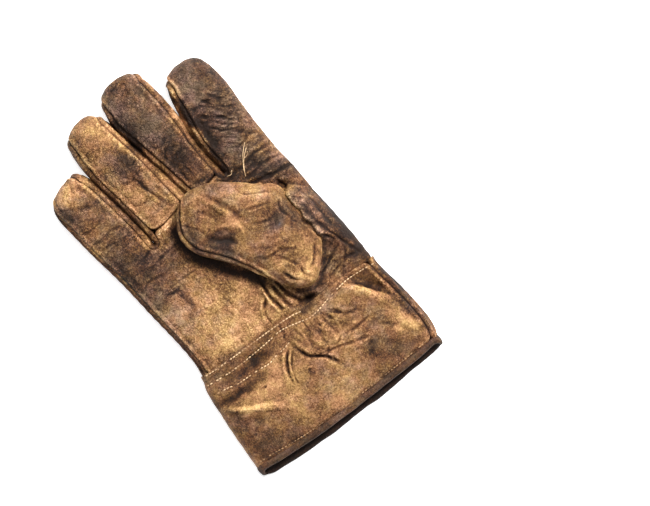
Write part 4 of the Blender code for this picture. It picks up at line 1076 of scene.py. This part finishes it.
# %% Ageing
WARM_SHADES = ((0.00, (0.012, 0.004, 0.001)), (0.20, (0.044, 0.017, 0.006)),
               (0.42, (0.133, 0.060, 0.022)), (0.62, (0.295, 0.155, 0.063)),
               (0.82, (0.490, 0.285, 0.128)), (1.00, (0.700, 0.440, 0.220)))
COLD_SHADES = ((0.00, (0.011, 0.006, 0.004)), (0.20, (0.039, 0.022, 0.015)),
               (0.42, (0.115, 0.070, 0.048)), (0.62, (0.255, 0.165, 0.112)),
               (0.82, (0.430, 0.290, 0.190)), (1.00, (0.650, 0.460, 0.300)))


def shade_ramp(tree, value, shades):
    """A colour ramp of leather shades."""
    ramp = put(tree, "ValToRGB", {"Fac": value})
    stops = ramp.color_ramp.elements
    while len(stops) < len(shades):
        stops.new(0.5)
    for stop, (at, colour) in zip(stops, shades):
        stop.position = at
        stop.color = (*colour, 1.0)
    return ramp.outputs["Color"]


ageing, age_in, age_out = new_group(
    "leather_ageing", {"Place": None, "Lightness": 0.5, "Coldness": 0.0, "Shade_And_Dirt": 0.0, "Rub": 0.0,
                       "Pores": 0.0, "Cracks": 0.0, "Mottling": 0.35},
    {"Colour": "Color", "Roughness": "Float"})
place = age_in.outputs["Place"]
MOTTLE_MIDDLE = 1.36      # what the three noises come to on average
STAIN_BLUE = (0.085, 0.105, 0.135, 1.0)
REDDER, GREENER = (1.05, 0.96, 1.03, 1.0), (0.99, 1.03, 0.89, 1.0)
medium = noise_node(ageing, place, 300.0, 4.0, 0.66, 0.5)
small = noise_node(ageing, place, 850.0, 4.0, 0.75)
tiny = noise_node(ageing, place, 2100.0, 2.0, 0.7)
mottle = math_node(ageing, "ADD", math_node(ageing, "MULTIPLY", medium, 0.6),
                   math_node(ageing, "MULTIPLY", small, 1.6))
mottle = math_node(ageing, "ADD", mottle, math_node(ageing, "MULTIPLY", tiny, 0.6))
mottle = math_node(ageing, "SUBTRACT", mottle, MOTTLE_MIDDLE)
mottle = math_node(ageing, "MULTIPLY", mottle, age_in.outputs["Mottling"])
mottle = math_node(ageing, "MULTIPLY", mottle,
                   spread_to(ageing, age_in.outputs["Coldness"], 0.3, 0.9, 1.0, 0.62))
light = math_node(ageing, "ADD", age_in.outputs["Lightness"], mottle)
rubbed = math_node(ageing, "MULTIPLY", age_in.outputs["Rub"],
                   spread_to(ageing, small, 0.38, 0.62, 0.05, 0.30))
light = math_node(ageing, "ADD", light, rubbed)
# painted shade and dirt: what sinks is darkened
darkened = math_node(ageing, "MULTIPLY", age_in.outputs["Shade_And_Dirt"],
                   spread_to(ageing, medium, 0.3, 0.7, 0.24, 0.42))
light = math_node(ageing, "SUBTRACT", light, darkened)
specks = spread_to(ageing, noise_node(ageing, place, 430.0, 2.0, 0.75), 0.66, 0.72)
light = math_node(ageing, "SUBTRACT", light, math_node(ageing, "MULTIPLY", specks, 0.22))
light = math_node(ageing, "SUBTRACT", light,
                  math_node(ageing, "MULTIPLY", age_in.outputs["Pores"], 0.12))
crackled = spread_to(ageing, noise_node(ageing, place, 110.0, 3.0, 0.7), 0.42, 0.62, 0.02, 0.22)
light = math_node(ageing, "SUBTRACT", light,
                  math_node(ageing, "MULTIPLY", age_in.outputs["Cracks"], crackled))
scuffs = spread_to(ageing, noise_node(ageing, place, 520.0, 3.0, 0.8, 1.2), 0.66, 0.74)
light = math_node(ageing, "ADD", light, math_node(ageing, "MULTIPLY", scuffs, 0.14), clamp=True)
cold = math_node(ageing, "ADD", age_in.outputs["Coldness"],
                 spread_to(ageing, noise_node(ageing, place, 150.0, 3.0), 0.35, 0.65, -0.2, 0.3),
                 clamp=True)
shade = blend_colour(ageing, cold, shade_ramp(ageing, light, WARM_SHADES),
                     shade_ramp(ageing, light, COLD_SHADES))
hue = spread_to(ageing, noise_node(ageing, place, 95.0, 4.0, 0.6), 0.36, 0.64)
tint = blend_colour(ageing, hue, REDDER, GREENER)
shade = blend_colour(ageing, 1.0, shade, tint, "MULTIPLY")
blue = spread_to(ageing, age_in.outputs["Coldness"], 1.2, 1.7, 0.0, 0.75)
shade = blend_colour(ageing, blue, shade, STAIN_BLUE)
ageing.links.new(shade, age_out.inputs["Colour"])
dull = math_node(ageing, "ADD", math_node(ageing, "MULTIPLY", small, 0.25), 0.50)
dull = math_node(ageing, "ADD", dull,
                 math_node(ageing, "MULTIPLY", age_in.outputs["Shade_And_Dirt"], 0.12), clamp=True)
ageing.links.new(dull, age_out.inputs["Roughness"])
print("ageing nodes:", len(ageing.nodes))

# %% [markdown]
# The shader itself stays in each material. A material only differs in how coarse its grain
# is, how strongly it is mottled and how deep its bump goes, because the large differences
# between the pieces are on their points.

# %% Leather materials
def leather(name, cell, coarseness, mottling, depth):
    """An aged leather; depth is the bump's height in metres."""
    material, tree, shader = new_material(name)
    place = put(tree, "TexCoord").outputs["Object"]
    point_maps = {label: put(tree, "Attribute", attribute_name=label).outputs["Fac"]
            for label in ("lightness", "coldness", "shade_and_dirt", "rub")}
    grained = put(tree, "Group", node_tree=grain)
    aged = put(tree, "Group", node_tree=ageing)
    for group in (grained, aged):
        tree.links.new(place, group.inputs["Place"])
    grained.inputs["Cell"].default_value = cell
    grained.inputs["Coarseness"].default_value = coarseness
    aged.inputs["Mottling"].default_value = mottling
    for label in ("Pores", "Cracks"):
        tree.links.new(grained.outputs[label], aged.inputs[label])
    for label, value in point_maps.items():
        tree.links.new(value, aged.inputs[label.title()])
    bump = put(tree, "Bump", {"Height": grained.outputs["Height"], "Distance": depth,
                              "Strength": 1.0})
    tree.links.new(aged.outputs["Colour"], shader.inputs["Base Color"])
    tree.links.new(aged.outputs["Roughness"], shader.inputs["Roughness"])
    tree.links.new(bump.outputs["Normal"], shader.inputs["Normal"])
    shader.inputs["Specular IOR Level"].default_value = 0.22
    return material


palm_leather = leather("palm_leather", 950.0, 0.6, 0.80, 0.00034)
finger_leather = leather("finger_leather", 850.0, 0.9, 0.66, 0.00040)
thumb_leather = leather("thumb_leather", 1000.0, 0.5, 0.64, 0.00030)
cuff_leather = leather("cuff_leather", 1050.0, 0.45, 0.66, 0.00028)
binding_leather = leather("binding_leather", 1300.0, 0.3, 0.35, 0.00016)
print("materials:", [m.name for m in bpy.data.materials])

# %% [markdown]
# ## The palm
# The palm panel carries the fronts of the little and index fingers. Beside the folded thumb
# the leather is bunched up as high as the thumb's root, with a dark pocket above it, and
# under the thumb's lobe the gathers leave a deep hole at the wrist seam. The pocket and the
# hole are also painted dark in the palm's patches, as their shade.

# %% The palm
# places down the thumb's right edge, y before x
THUMB_RIGHT_EDGE = [(17, 50.6), (10, 52.4), (-2, 52.0), (-16, 53.0), (-26, 53.4), (-34, 47.6)]
BUNCH_HEIGHT = 7.6
PUSH = 2.3                # how far the bunched leather is pushed towards the thumb
POCKET_DEEP = 5.0
HOLE_DEEP = 7.0
FRONT_LEAST = 6.0         # the palm's front is higher than this, and its turned side is lower


def palm_lift(points):
    """The bunched leather beside the thumb, and the pocket and hole near it."""
    x, y = points[:, 0], points[:, 1]
    front = points[:, 2] > FRONT_LEAST
    edge = np.interp(-y, [-p[0] for p in THUMB_RIGHT_EDGE], [p[1] for p in THUMB_RIGHT_EDGE])
    along = step_up(y, -36, -24) * (1 - step_up(y, 6, 13))
    uneven = 1 + 0.25 * lumps(points, 6.0, 95)
    bunch = step_up(x, edge - 0.6, edge + 1.8) * (1 - step_up(x, 54.5, 64.0)) * along
    bunch = BUNCH_HEIGHT * bunch * uneven
    pocket = -POCKET_DEEP * soft_spot(points, 53.4, 13.8, 1.6, 3.8, 14)
    hole = -HOLE_DEEP * soft_spot(points, 21, -53.0, 5.2, 2.6, -14)
    lift = np.zeros((len(points), 3))
    lift[:, 2] = (bunch + pocket + hole) * front
    pushed = step_up(x, edge - 0.6, edge + 1.2) * (1 - step_up(x, edge + 2.0, 62.0)) * along
    lift[:, 0] = -PUSH * pushed * uneven * front
    return lift


def use(piece, material):
    """Gives the piece its leather."""
    piece.data.materials.append(material)


palm = leather_piece("palm_panel", "palm", "hand", 0.52, 0.1, lift=palm_lift)
use(palm, palm_leather)

# %% [markdown]
# ## Fronts of the ring and middle fingers, and the strips between the fingers
# The ring and middle fingers have fronts of their own, sewn to the palm across their bases.
# The strips between the fingers, which makers call fourchettes, wrap the fingers' sides.

# %% Fingers
ring = leather_piece("ring_panel", "ring_front", "hand", 0.54, 0.0)
middle = leather_piece("middle_panel", "middle_front", "hand", 0.44, 0.3)
for finger in (ring, middle):
    use(finger, finger_leather)
for node, (tone, cold) in FOURCHETTES.items():
    strip = leather_piece(node + "_strip", node, "hand", tone, cold)
    use(strip, finger_leather)

# %% [markdown]
# ## The back
# The back lies on the table, so it stays flat where it rests and has fewer points.

# %% The back
back = leather_piece("back_panel", "back", "back", 0.48, 0.1, levels=2)
use(back, palm_leather)

# %% [markdown]
# ## The thumb
# The thumb is a tube of two halves folded over the palm. Its upper half shows nearly all of
# its leather, soft and dented over the empty tube, and a narrow strip of the lower half shows
# along its left edge.

# %% The thumb
# rise, x, y, half width, half length, lean in degrees
THUMB_DENTS = [(-1.8, 2, 9, 9, 8, -20), (-1.6, 33, -2, 9, 7, 0), (1.0, 14, 14, 4, 11, 0),
               (0.9, 30, -41, 8, 5, 0), (-1.2, 20, -21, 14, 4, -25), (0.8, 28, 18, 14, 6, -38)]


def thumb_lift(points):
    """Broad dents where the empty tube has fallen in, and the swells between them."""
    lift = np.zeros((len(points), 3))
    for rise, *spot in THUMB_DENTS:
        lift[:, 2] += rise * soft_spot(points, *spot)
    return lift


thumb_upper = leather_piece("thumb_upper_half", "thumb_upper", "thumb",
                            0.54, 0.0, lift=thumb_lift)
thumb_lower = leather_piece("thumb_lower_half", "thumb_lower", "thumb", 0.56, 0.0)
use(thumb_upper, thumb_leather)
use(thumb_lower, thumb_leather)

# %% [markdown]
# ## The cuff
# The cuff is one piece, lapped over the wrist edge of the palm and sewn along it. More rows
# of stitches run across the cuff below that. Each row pulls the leather in a little, so it
# is a shallow crease as well as a line of thread.

# %% The cuff
STITCH_ROWS = {
    "wrist_edge": [(-60, -51.8), (-45, -52.9), (-5, -54.2), (7, -55.2), (14, -56.8)],
    "band": [(-63.5, -57.3), (-56, -58.3), (-42.7, -59.6), (-26, -59.4), (-13.5, -58.8),
             (-4.3, -58.3), (7.3, -61), (15.7, -63.2), (24, -62.5), (32.3, -60.7),
             (40.7, -59.4), (49, -58.8), (60.7, -59.8), (68, -61)],
    "band_lower": [(-63.5, -64.8), (-53.5, -66.3), (-46.8, -68.2), (-38.5, -68.8),
                   (-30, -69.4), (-22.7, -70.3), (-16, -69), (-11, -68.8), (-4, -67.4)],
    "hem": [(-66.5, -115.8), (-56, -116.7), (-46, -118.3), (-28, -120.2), (0, -121.1),
            (30, -121.2), (66, -120.4)],
}
ROW_DEEP, ROW_WIDE = 0.30, 0.7
for row in STITCH_ROWS.values():
    CREASES["cuff"].append((ROW_DEEP, ROW_WIDE, row))
cuff = leather_piece("cuff_panel", "cuff", "cuff", 0.54, 0.0)
use(cuff, cuff_leather)

# %% [markdown]
# ## The bound hem
# The binding is a strip of thin dark leather folded over the cuff's cut edge. It is made as
# the binder sews it: the strip's section runs down the outside, round the edge and up the
# inside, and is carried once round the mouth, a little uneven because old leather shrinks.
# Low along the back it is painted nearly black, as the shade inside the cuff's mouth.

# %% The binding
# outwards from the cuff's outer face, and up from its cut edge
BINDING_SECTION = [(0.2, 0.5), (0.85, 0.1), (1.0, -0.8), (0.95, -1.8), (0.7, -3.2), (0.1, -4.2),
                   (-0.75, -4.65), (-1.6, -4.2), (-2.2, -3.2), (-2.35, -1.8), (-2.3, -0.2)]
BINDING_LEATHER = 0.7     # millimetres thick


def evenly(line, spacing):
    """A closed line's points again, evenly spaced and a little smoother."""
    line = np.vstack([line, line[:1]])
    lengths = lengths_along(line)
    at = np.linspace(0, lengths[-1], int(lengths[-1] / spacing), endpoint=False)
    even = np.column_stack([np.interp(at, lengths, line[:, i]) for i in range(3)])
    for _ in range(3):
        even = (even + np.roll(even, 1, axis=0) + np.roll(even, -1, axis=0)) / 3
    return even


def make_binding():
    """The folded strip, carried round the cuff's mouth."""
    mouth = evenly(HIDDEN_EDGES["cuff_panel"], 1.0)
    ahead = np.roll(mouth, -2, axis=0) - np.roll(mouth, 2, axis=0)
    out = np.column_stack([ahead[:, 2], np.zeros(len(mouth)), -ahead[:, 0]])
    out /= np.linalg.norm(out, axis=1)[:, None]
    if out[np.argmax(mouth[:, 2])][2] < 0:
        out = -out
    front = step_up(mouth[:, 2], 4.0, 9.0)
    width = (1.35 - 0.5 * front) * (1 + 0.07 * lumps(mouth, 9.0, 101))
    rows = []
    for proud, up in BINDING_SECTION:
        row = mouth + out * proud
        row[:, 1] += up * width - 0.2
        row = row + out * (0.14 * lumps(row, 3.4, 102) + 0.10 * lumps(row, 1.6, 103))[:, None]
        row[:, 2] = np.maximum(row[:, 2], 0.0)
        rows.append(row)
    count, bands = len(mouth), len(rows)
    points = np.vstack(rows)
    faces = [(b * count + i, b * count + (i + 1) % count,
              (b + 1) * count + (i + 1) % count, (b + 1) * count + i)
             for b in range(bands - 1) for i in range(count)]
    mesh = bpy.data.meshes.new("hem_binding_strip")
    mesh.from_pydata(in_frame(points), [], faces)
    mesh.update()
    highest = max(mesh.polygons, key=lambda face: face.center.z)
    if highest.normal.z < 0:
        mesh.flip_normals()
    mesh.shade_smooth()
    even = np.ones(len(points))
    tone = 0.28 + 0.10 * clouds(points, 9.0, 104) + 0.14 * soft_spot(points, 3, -124, 18, 9)
    # painted shade: the strip is darkened nearly to black where it runs low, along the back, to stand
    # for the shadowed mouth
    tone = tone * (0.15 + 0.85 * step_up(points[:, 2], 3.0, 8.0))
    store(mesh, {"lightness": tone, "coldness": 0.45 * even, "shade_and_dirt": 0.1 * even,
                 "rub": 0.25 * even})
    strip = add_object("hem_binding_strip", mesh)
    rounding = strip.modifiers.new("Subdivision", "SUBSURF")
    rounding.levels = rounding.render_levels = 1
    wall = strip.modifiers.new("Solidify", "SOLIDIFY")
    wall.thickness = BINDING_LEATHER * MM
    wall.offset = -1.0
    return strip


binding = make_binding()
use(binding, binding_leather)
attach(binding, "root")
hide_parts("hem_binding")
print("faces of the binding, before its modifiers:", len(binding.data.polygons))

# %% [markdown]
# ## Stitches
# The thread shows where the cuff is sewn on and hemmed. One stitch is a small sphere drawn
# out along the row, and the rows repeat it, each copy laid on the leather below it. An array
# along a curve would be quicker to make, but its stitches would float over the dents. Old
# thread breaks, so a few stitches are missing.

# %% Stitches
STITCH_LONG, STITCH_WIDE, STITCH_HIGH = 1.00, 0.44, 0.34      # half sizes
STITCH_SPACING = 2.3
STITCH_HALF_SPAN = 0.6    # the leather's slope is taken this far each way from the middle
STITCH_LIFT = 0.10
LOST_SHARE = 0.10
ABOVE_ALL = 60.0          # a height from which to look down at the leather


def surface_below(piece):
    """A function that gives the place and normal of the piece's top at a drawing place."""
    tree = BVHTree.FromObject(piece, bpy.context.evaluated_depsgraph_get())

    def below(x, y):
        start = Vector(in_frame([x, y, ABOVE_ALL]))
        place, normal, _, _ = tree.ray_cast(start, Vector((0, 0, -1)))
        return (None, None) if place is None else (on_drawing(place), np.array(normal))
    return below


bpy.ops.object.select_all(action="DESELECT")
bpy.ops.mesh.primitive_uv_sphere_add(segments=8, ring_count=6, radius=1.0)
one_stitch = bpy.context.active_object
stitch_points = np.array([v.co for v in one_stitch.data.vertices])
stitch_points *= (STITCH_LONG, STITCH_WIDE, STITCH_HIGH)
stitch_points[:, 2] -= 0.25 * (stitch_points[:, 0] / STITCH_LONG) ** 2
stitch_faces = [tuple(f.vertices) for f in one_stitch.data.polygons]
bpy.data.objects.remove(one_stitch)


def stitch_rows(name, rows, below, seed):
    """All the stitches along some rows, as one piece."""
    points, faces = [], []
    for number, row in enumerate(rows):
        line = rounded(row, 12)
        lengths = lengths_along(line)
        for i, at in enumerate(np.arange(STITCH_SPACING / 2, lengths[-1], STITCH_SPACING)):
            chance = hashed(seed, np.int64(i), np.int64(number), np.int64(3))
            if chance < LOST_SHARE:
                continue
            at += 0.3 * (chance - 0.5)
            ends = [[np.interp(at + s, lengths, line[:, k]) for k in (0, 1)]
                    for s in (-STITCH_HALF_SPAN, STITCH_HALF_SPAN)]
            (first, normal), (second, _) = below(*ends[0]), below(*ends[1])
            if first is None or second is None:
                continue
            ahead = (second - first) / np.linalg.norm(second - first)
            side = np.cross(normal, ahead)
            side /= np.linalg.norm(side)
            up = np.cross(ahead, side)
            middle = (first + second) / 2 + STITCH_LIFT * up
            base = len(points) * len(stitch_points)
            points.append(middle + stitch_points @ np.array([ahead, side, up]))
            faces += [tuple(v + base for v in face) for face in stitch_faces]
    mesh = bpy.data.meshes.new(name)
    mesh.from_pydata(in_frame(np.vstack(points)), [], faces)
    mesh.shade_smooth()
    piece = add_object(name, mesh)
    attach(piece, "root")
    print(name, "stitches:", len(points))
    return piece


FINGER_ROWS = [[(26.4, 45.6), (26.8, 43), (28.6, 41.4), (30.6, 42.6), (31.2, 45.4)],
               [(-30.5, 37.6), (-25, 36.8), (-19, 37.4)]]
cuff_rows = [row for name, row in STITCH_ROWS.items() if name != "hem"]
cuff_stitches = stitch_rows("cuff_stitches", cuff_rows, surface_below(cuff), 1)
hem_stitches = stitch_rows("hem_stitches", [STITCH_ROWS["hem"]], surface_below(cuff), 3)
finger_stitches = stitch_rows("finger_stitches", FINGER_ROWS, surface_below(palm), 2)

# %% [markdown]
# ## Loose threads
# Where a seam has worn through, ends of its thread lie on the leather. Each is a thin curve
# laid over the surface and made a mesh.

# %% Loose threads
THREAD_THICK = 0.19          # half its thickness
FIRST_HEIGHT = 8.0           # used until the leather is found below
LOOSE_THREADS = [
    [(38.4, 32.2), (40.2, 36.5), (43.6, 41.6), (46.5, 45.2), (51, 49.4)],
    [(38.9, 33.4), (41.6, 38.2), (45.4, 42.6), (49.8, 46.2)],
    [(44, 41.6), (47.2, 42.2), (48.8, 44)],
    [(33.8, 40.6), (31.8, 38.8), (29, 39.4)],
    [(66.6, 19.4), (67.8, 19.2), (69.0, 18.2)],
    [(66.8, 20.2), (68.2, 20.8), (69.2, 22)],
]


def lay_thread(number, places, below):
    """A thin thread laid along some places on the surface."""
    curve = bpy.data.curves.new("loose_thread", "CURVE")
    curve.dimensions = "3D"
    curve.bevel_depth = THREAD_THICK * MM
    curve.bevel_resolution = 1
    curve.use_fill_caps = True
    line = rounded(places, 8)
    spline = curve.splines.new("POLY")
    spline.points.add(len(line) - 1)
    rise = 0.25 + 0.5 * np.sin(np.linspace(0, math.pi * 3, len(line))) ** 2
    height = FIRST_HEIGHT
    for point, (x, y), up in zip(spline.points, line, rise):
        place = below(x, y)[0]
        height = place[2] if place is not None else height
        point.co = (*in_frame([x, y, height + up]), 1.0)
    return add_object(f"loose_thread_{number}", curve)


palm_top = surface_below(palm)
threads = [lay_thread(n, places, palm_top) for n, places in enumerate(LOOSE_THREADS)]
bpy.ops.object.select_all(action="DESELECT")
for thread in threads:
    thread.select_set(True)
bpy.context.view_layer.objects.active = threads[0]
bpy.ops.object.convert(target="MESH")
bpy.ops.object.join()
loose = bpy.context.active_object
loose.name = "loose_threads"
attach(loose, "root")
print("loose thread faces:", len(loose.data.polygons))

# %% [markdown]
# The thread is waxed cotton that was once cream. It has a fine twist and has taken up dirt
# unevenly, so its colour runs from cream to brown along a row.

# %% Thread
def thread_paint(name, clean, darkened):
    """Twisted cotton, running between a clean and a soiled colour."""
    cotton, tree, shader = new_material(name)
    place = put(tree, "TexCoord").outputs["Object"]
    soiling = spread_to(tree, noise_node(tree, place, 130.0, 4.0), 0.38, 0.66)
    colour = blend_colour(tree, soiling, clean, darkened)
    tree.links.new(colour, shader.inputs["Base Color"])
    twist = noise_node(tree, place, 3500.0, 2.0)
    bump = put(tree, "Bump", {"Height": twist, "Distance": 0.0001, "Strength": 0.8})
    tree.links.new(bump.outputs["Normal"], shader.inputs["Normal"])
    shader.inputs["Roughness"].default_value = 0.8
    shader.inputs["Specular IOR Level"].default_value = 0.2
    return cotton


cream = thread_paint("thread_cotton", (0.74, 0.52, 0.30, 1.0), (0.30, 0.17, 0.085, 1.0))
brown = thread_paint("thread_soiled", (0.36, 0.21, 0.105, 1.0), (0.06, 0.03, 0.016, 1.0))
for piece in (cuff_stitches, finger_stitches, loose):
    use(piece, cream)
use(hem_stitches, brown)
print("thread materials:", [cream.name, brown.name])

# %% [markdown]
# ## The cut of every sheet
# Leather is cut flat and sewn, and it barely stretches, so each piece's curved surface must be
# about as large as its flat cut. The widths and lengths here are of the rectangle that each cut
# fits in, and the areas are of the cuts themselves. The strips between the fingers are folded
# into their gaps, and the cuff and its binding are folded round the opening.

# %% Say how the sheets were cut
# width, length and area in millimetres, how it is held, what it rests on, what is sewn to it
CUTS = {
    "palm_panel": (148, 186, 18200, "laid", ["back_panel"], [finger_stitches, loose]),
    "ring_panel": (34, 88, 2450, "laid", ["back_panel"], []),
    "middle_panel": (31, 91, 2400, "laid", ["back_panel"], []),
    "fourchette_little_ring_strip": (15, 188, 2550, "folded", ["palm_panel"], []),
    "fourchette_ring_middle_strip": (16, 192, 2700, "folded", ["palm_panel"], []),
    "fourchette_middle_index_strip": (15, 186, 2480, "folded", ["palm_panel"], []),
    "back_panel": (150, 206, 21300, "laid", ["table"], []),
    "thumb_upper_half": (64, 104, 5000, "laid", ["thumb_lower_half"], []),
    "thumb_lower_half": (62, 102, 4550, "laid", ["palm_panel"], []),
    "cuff_panel": (291, 75, 20400, "folded", ["table"], [cuff_stitches, hem_stitches]),
    "hem_binding_strip": (10.5, 290, 2900, "folded", ["cuff_panel"], []),
}
for name, (wide, long, area, held, below, sewn) in CUTS.items():
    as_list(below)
    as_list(sewn)
print("sheets declared:", len(CUTS))
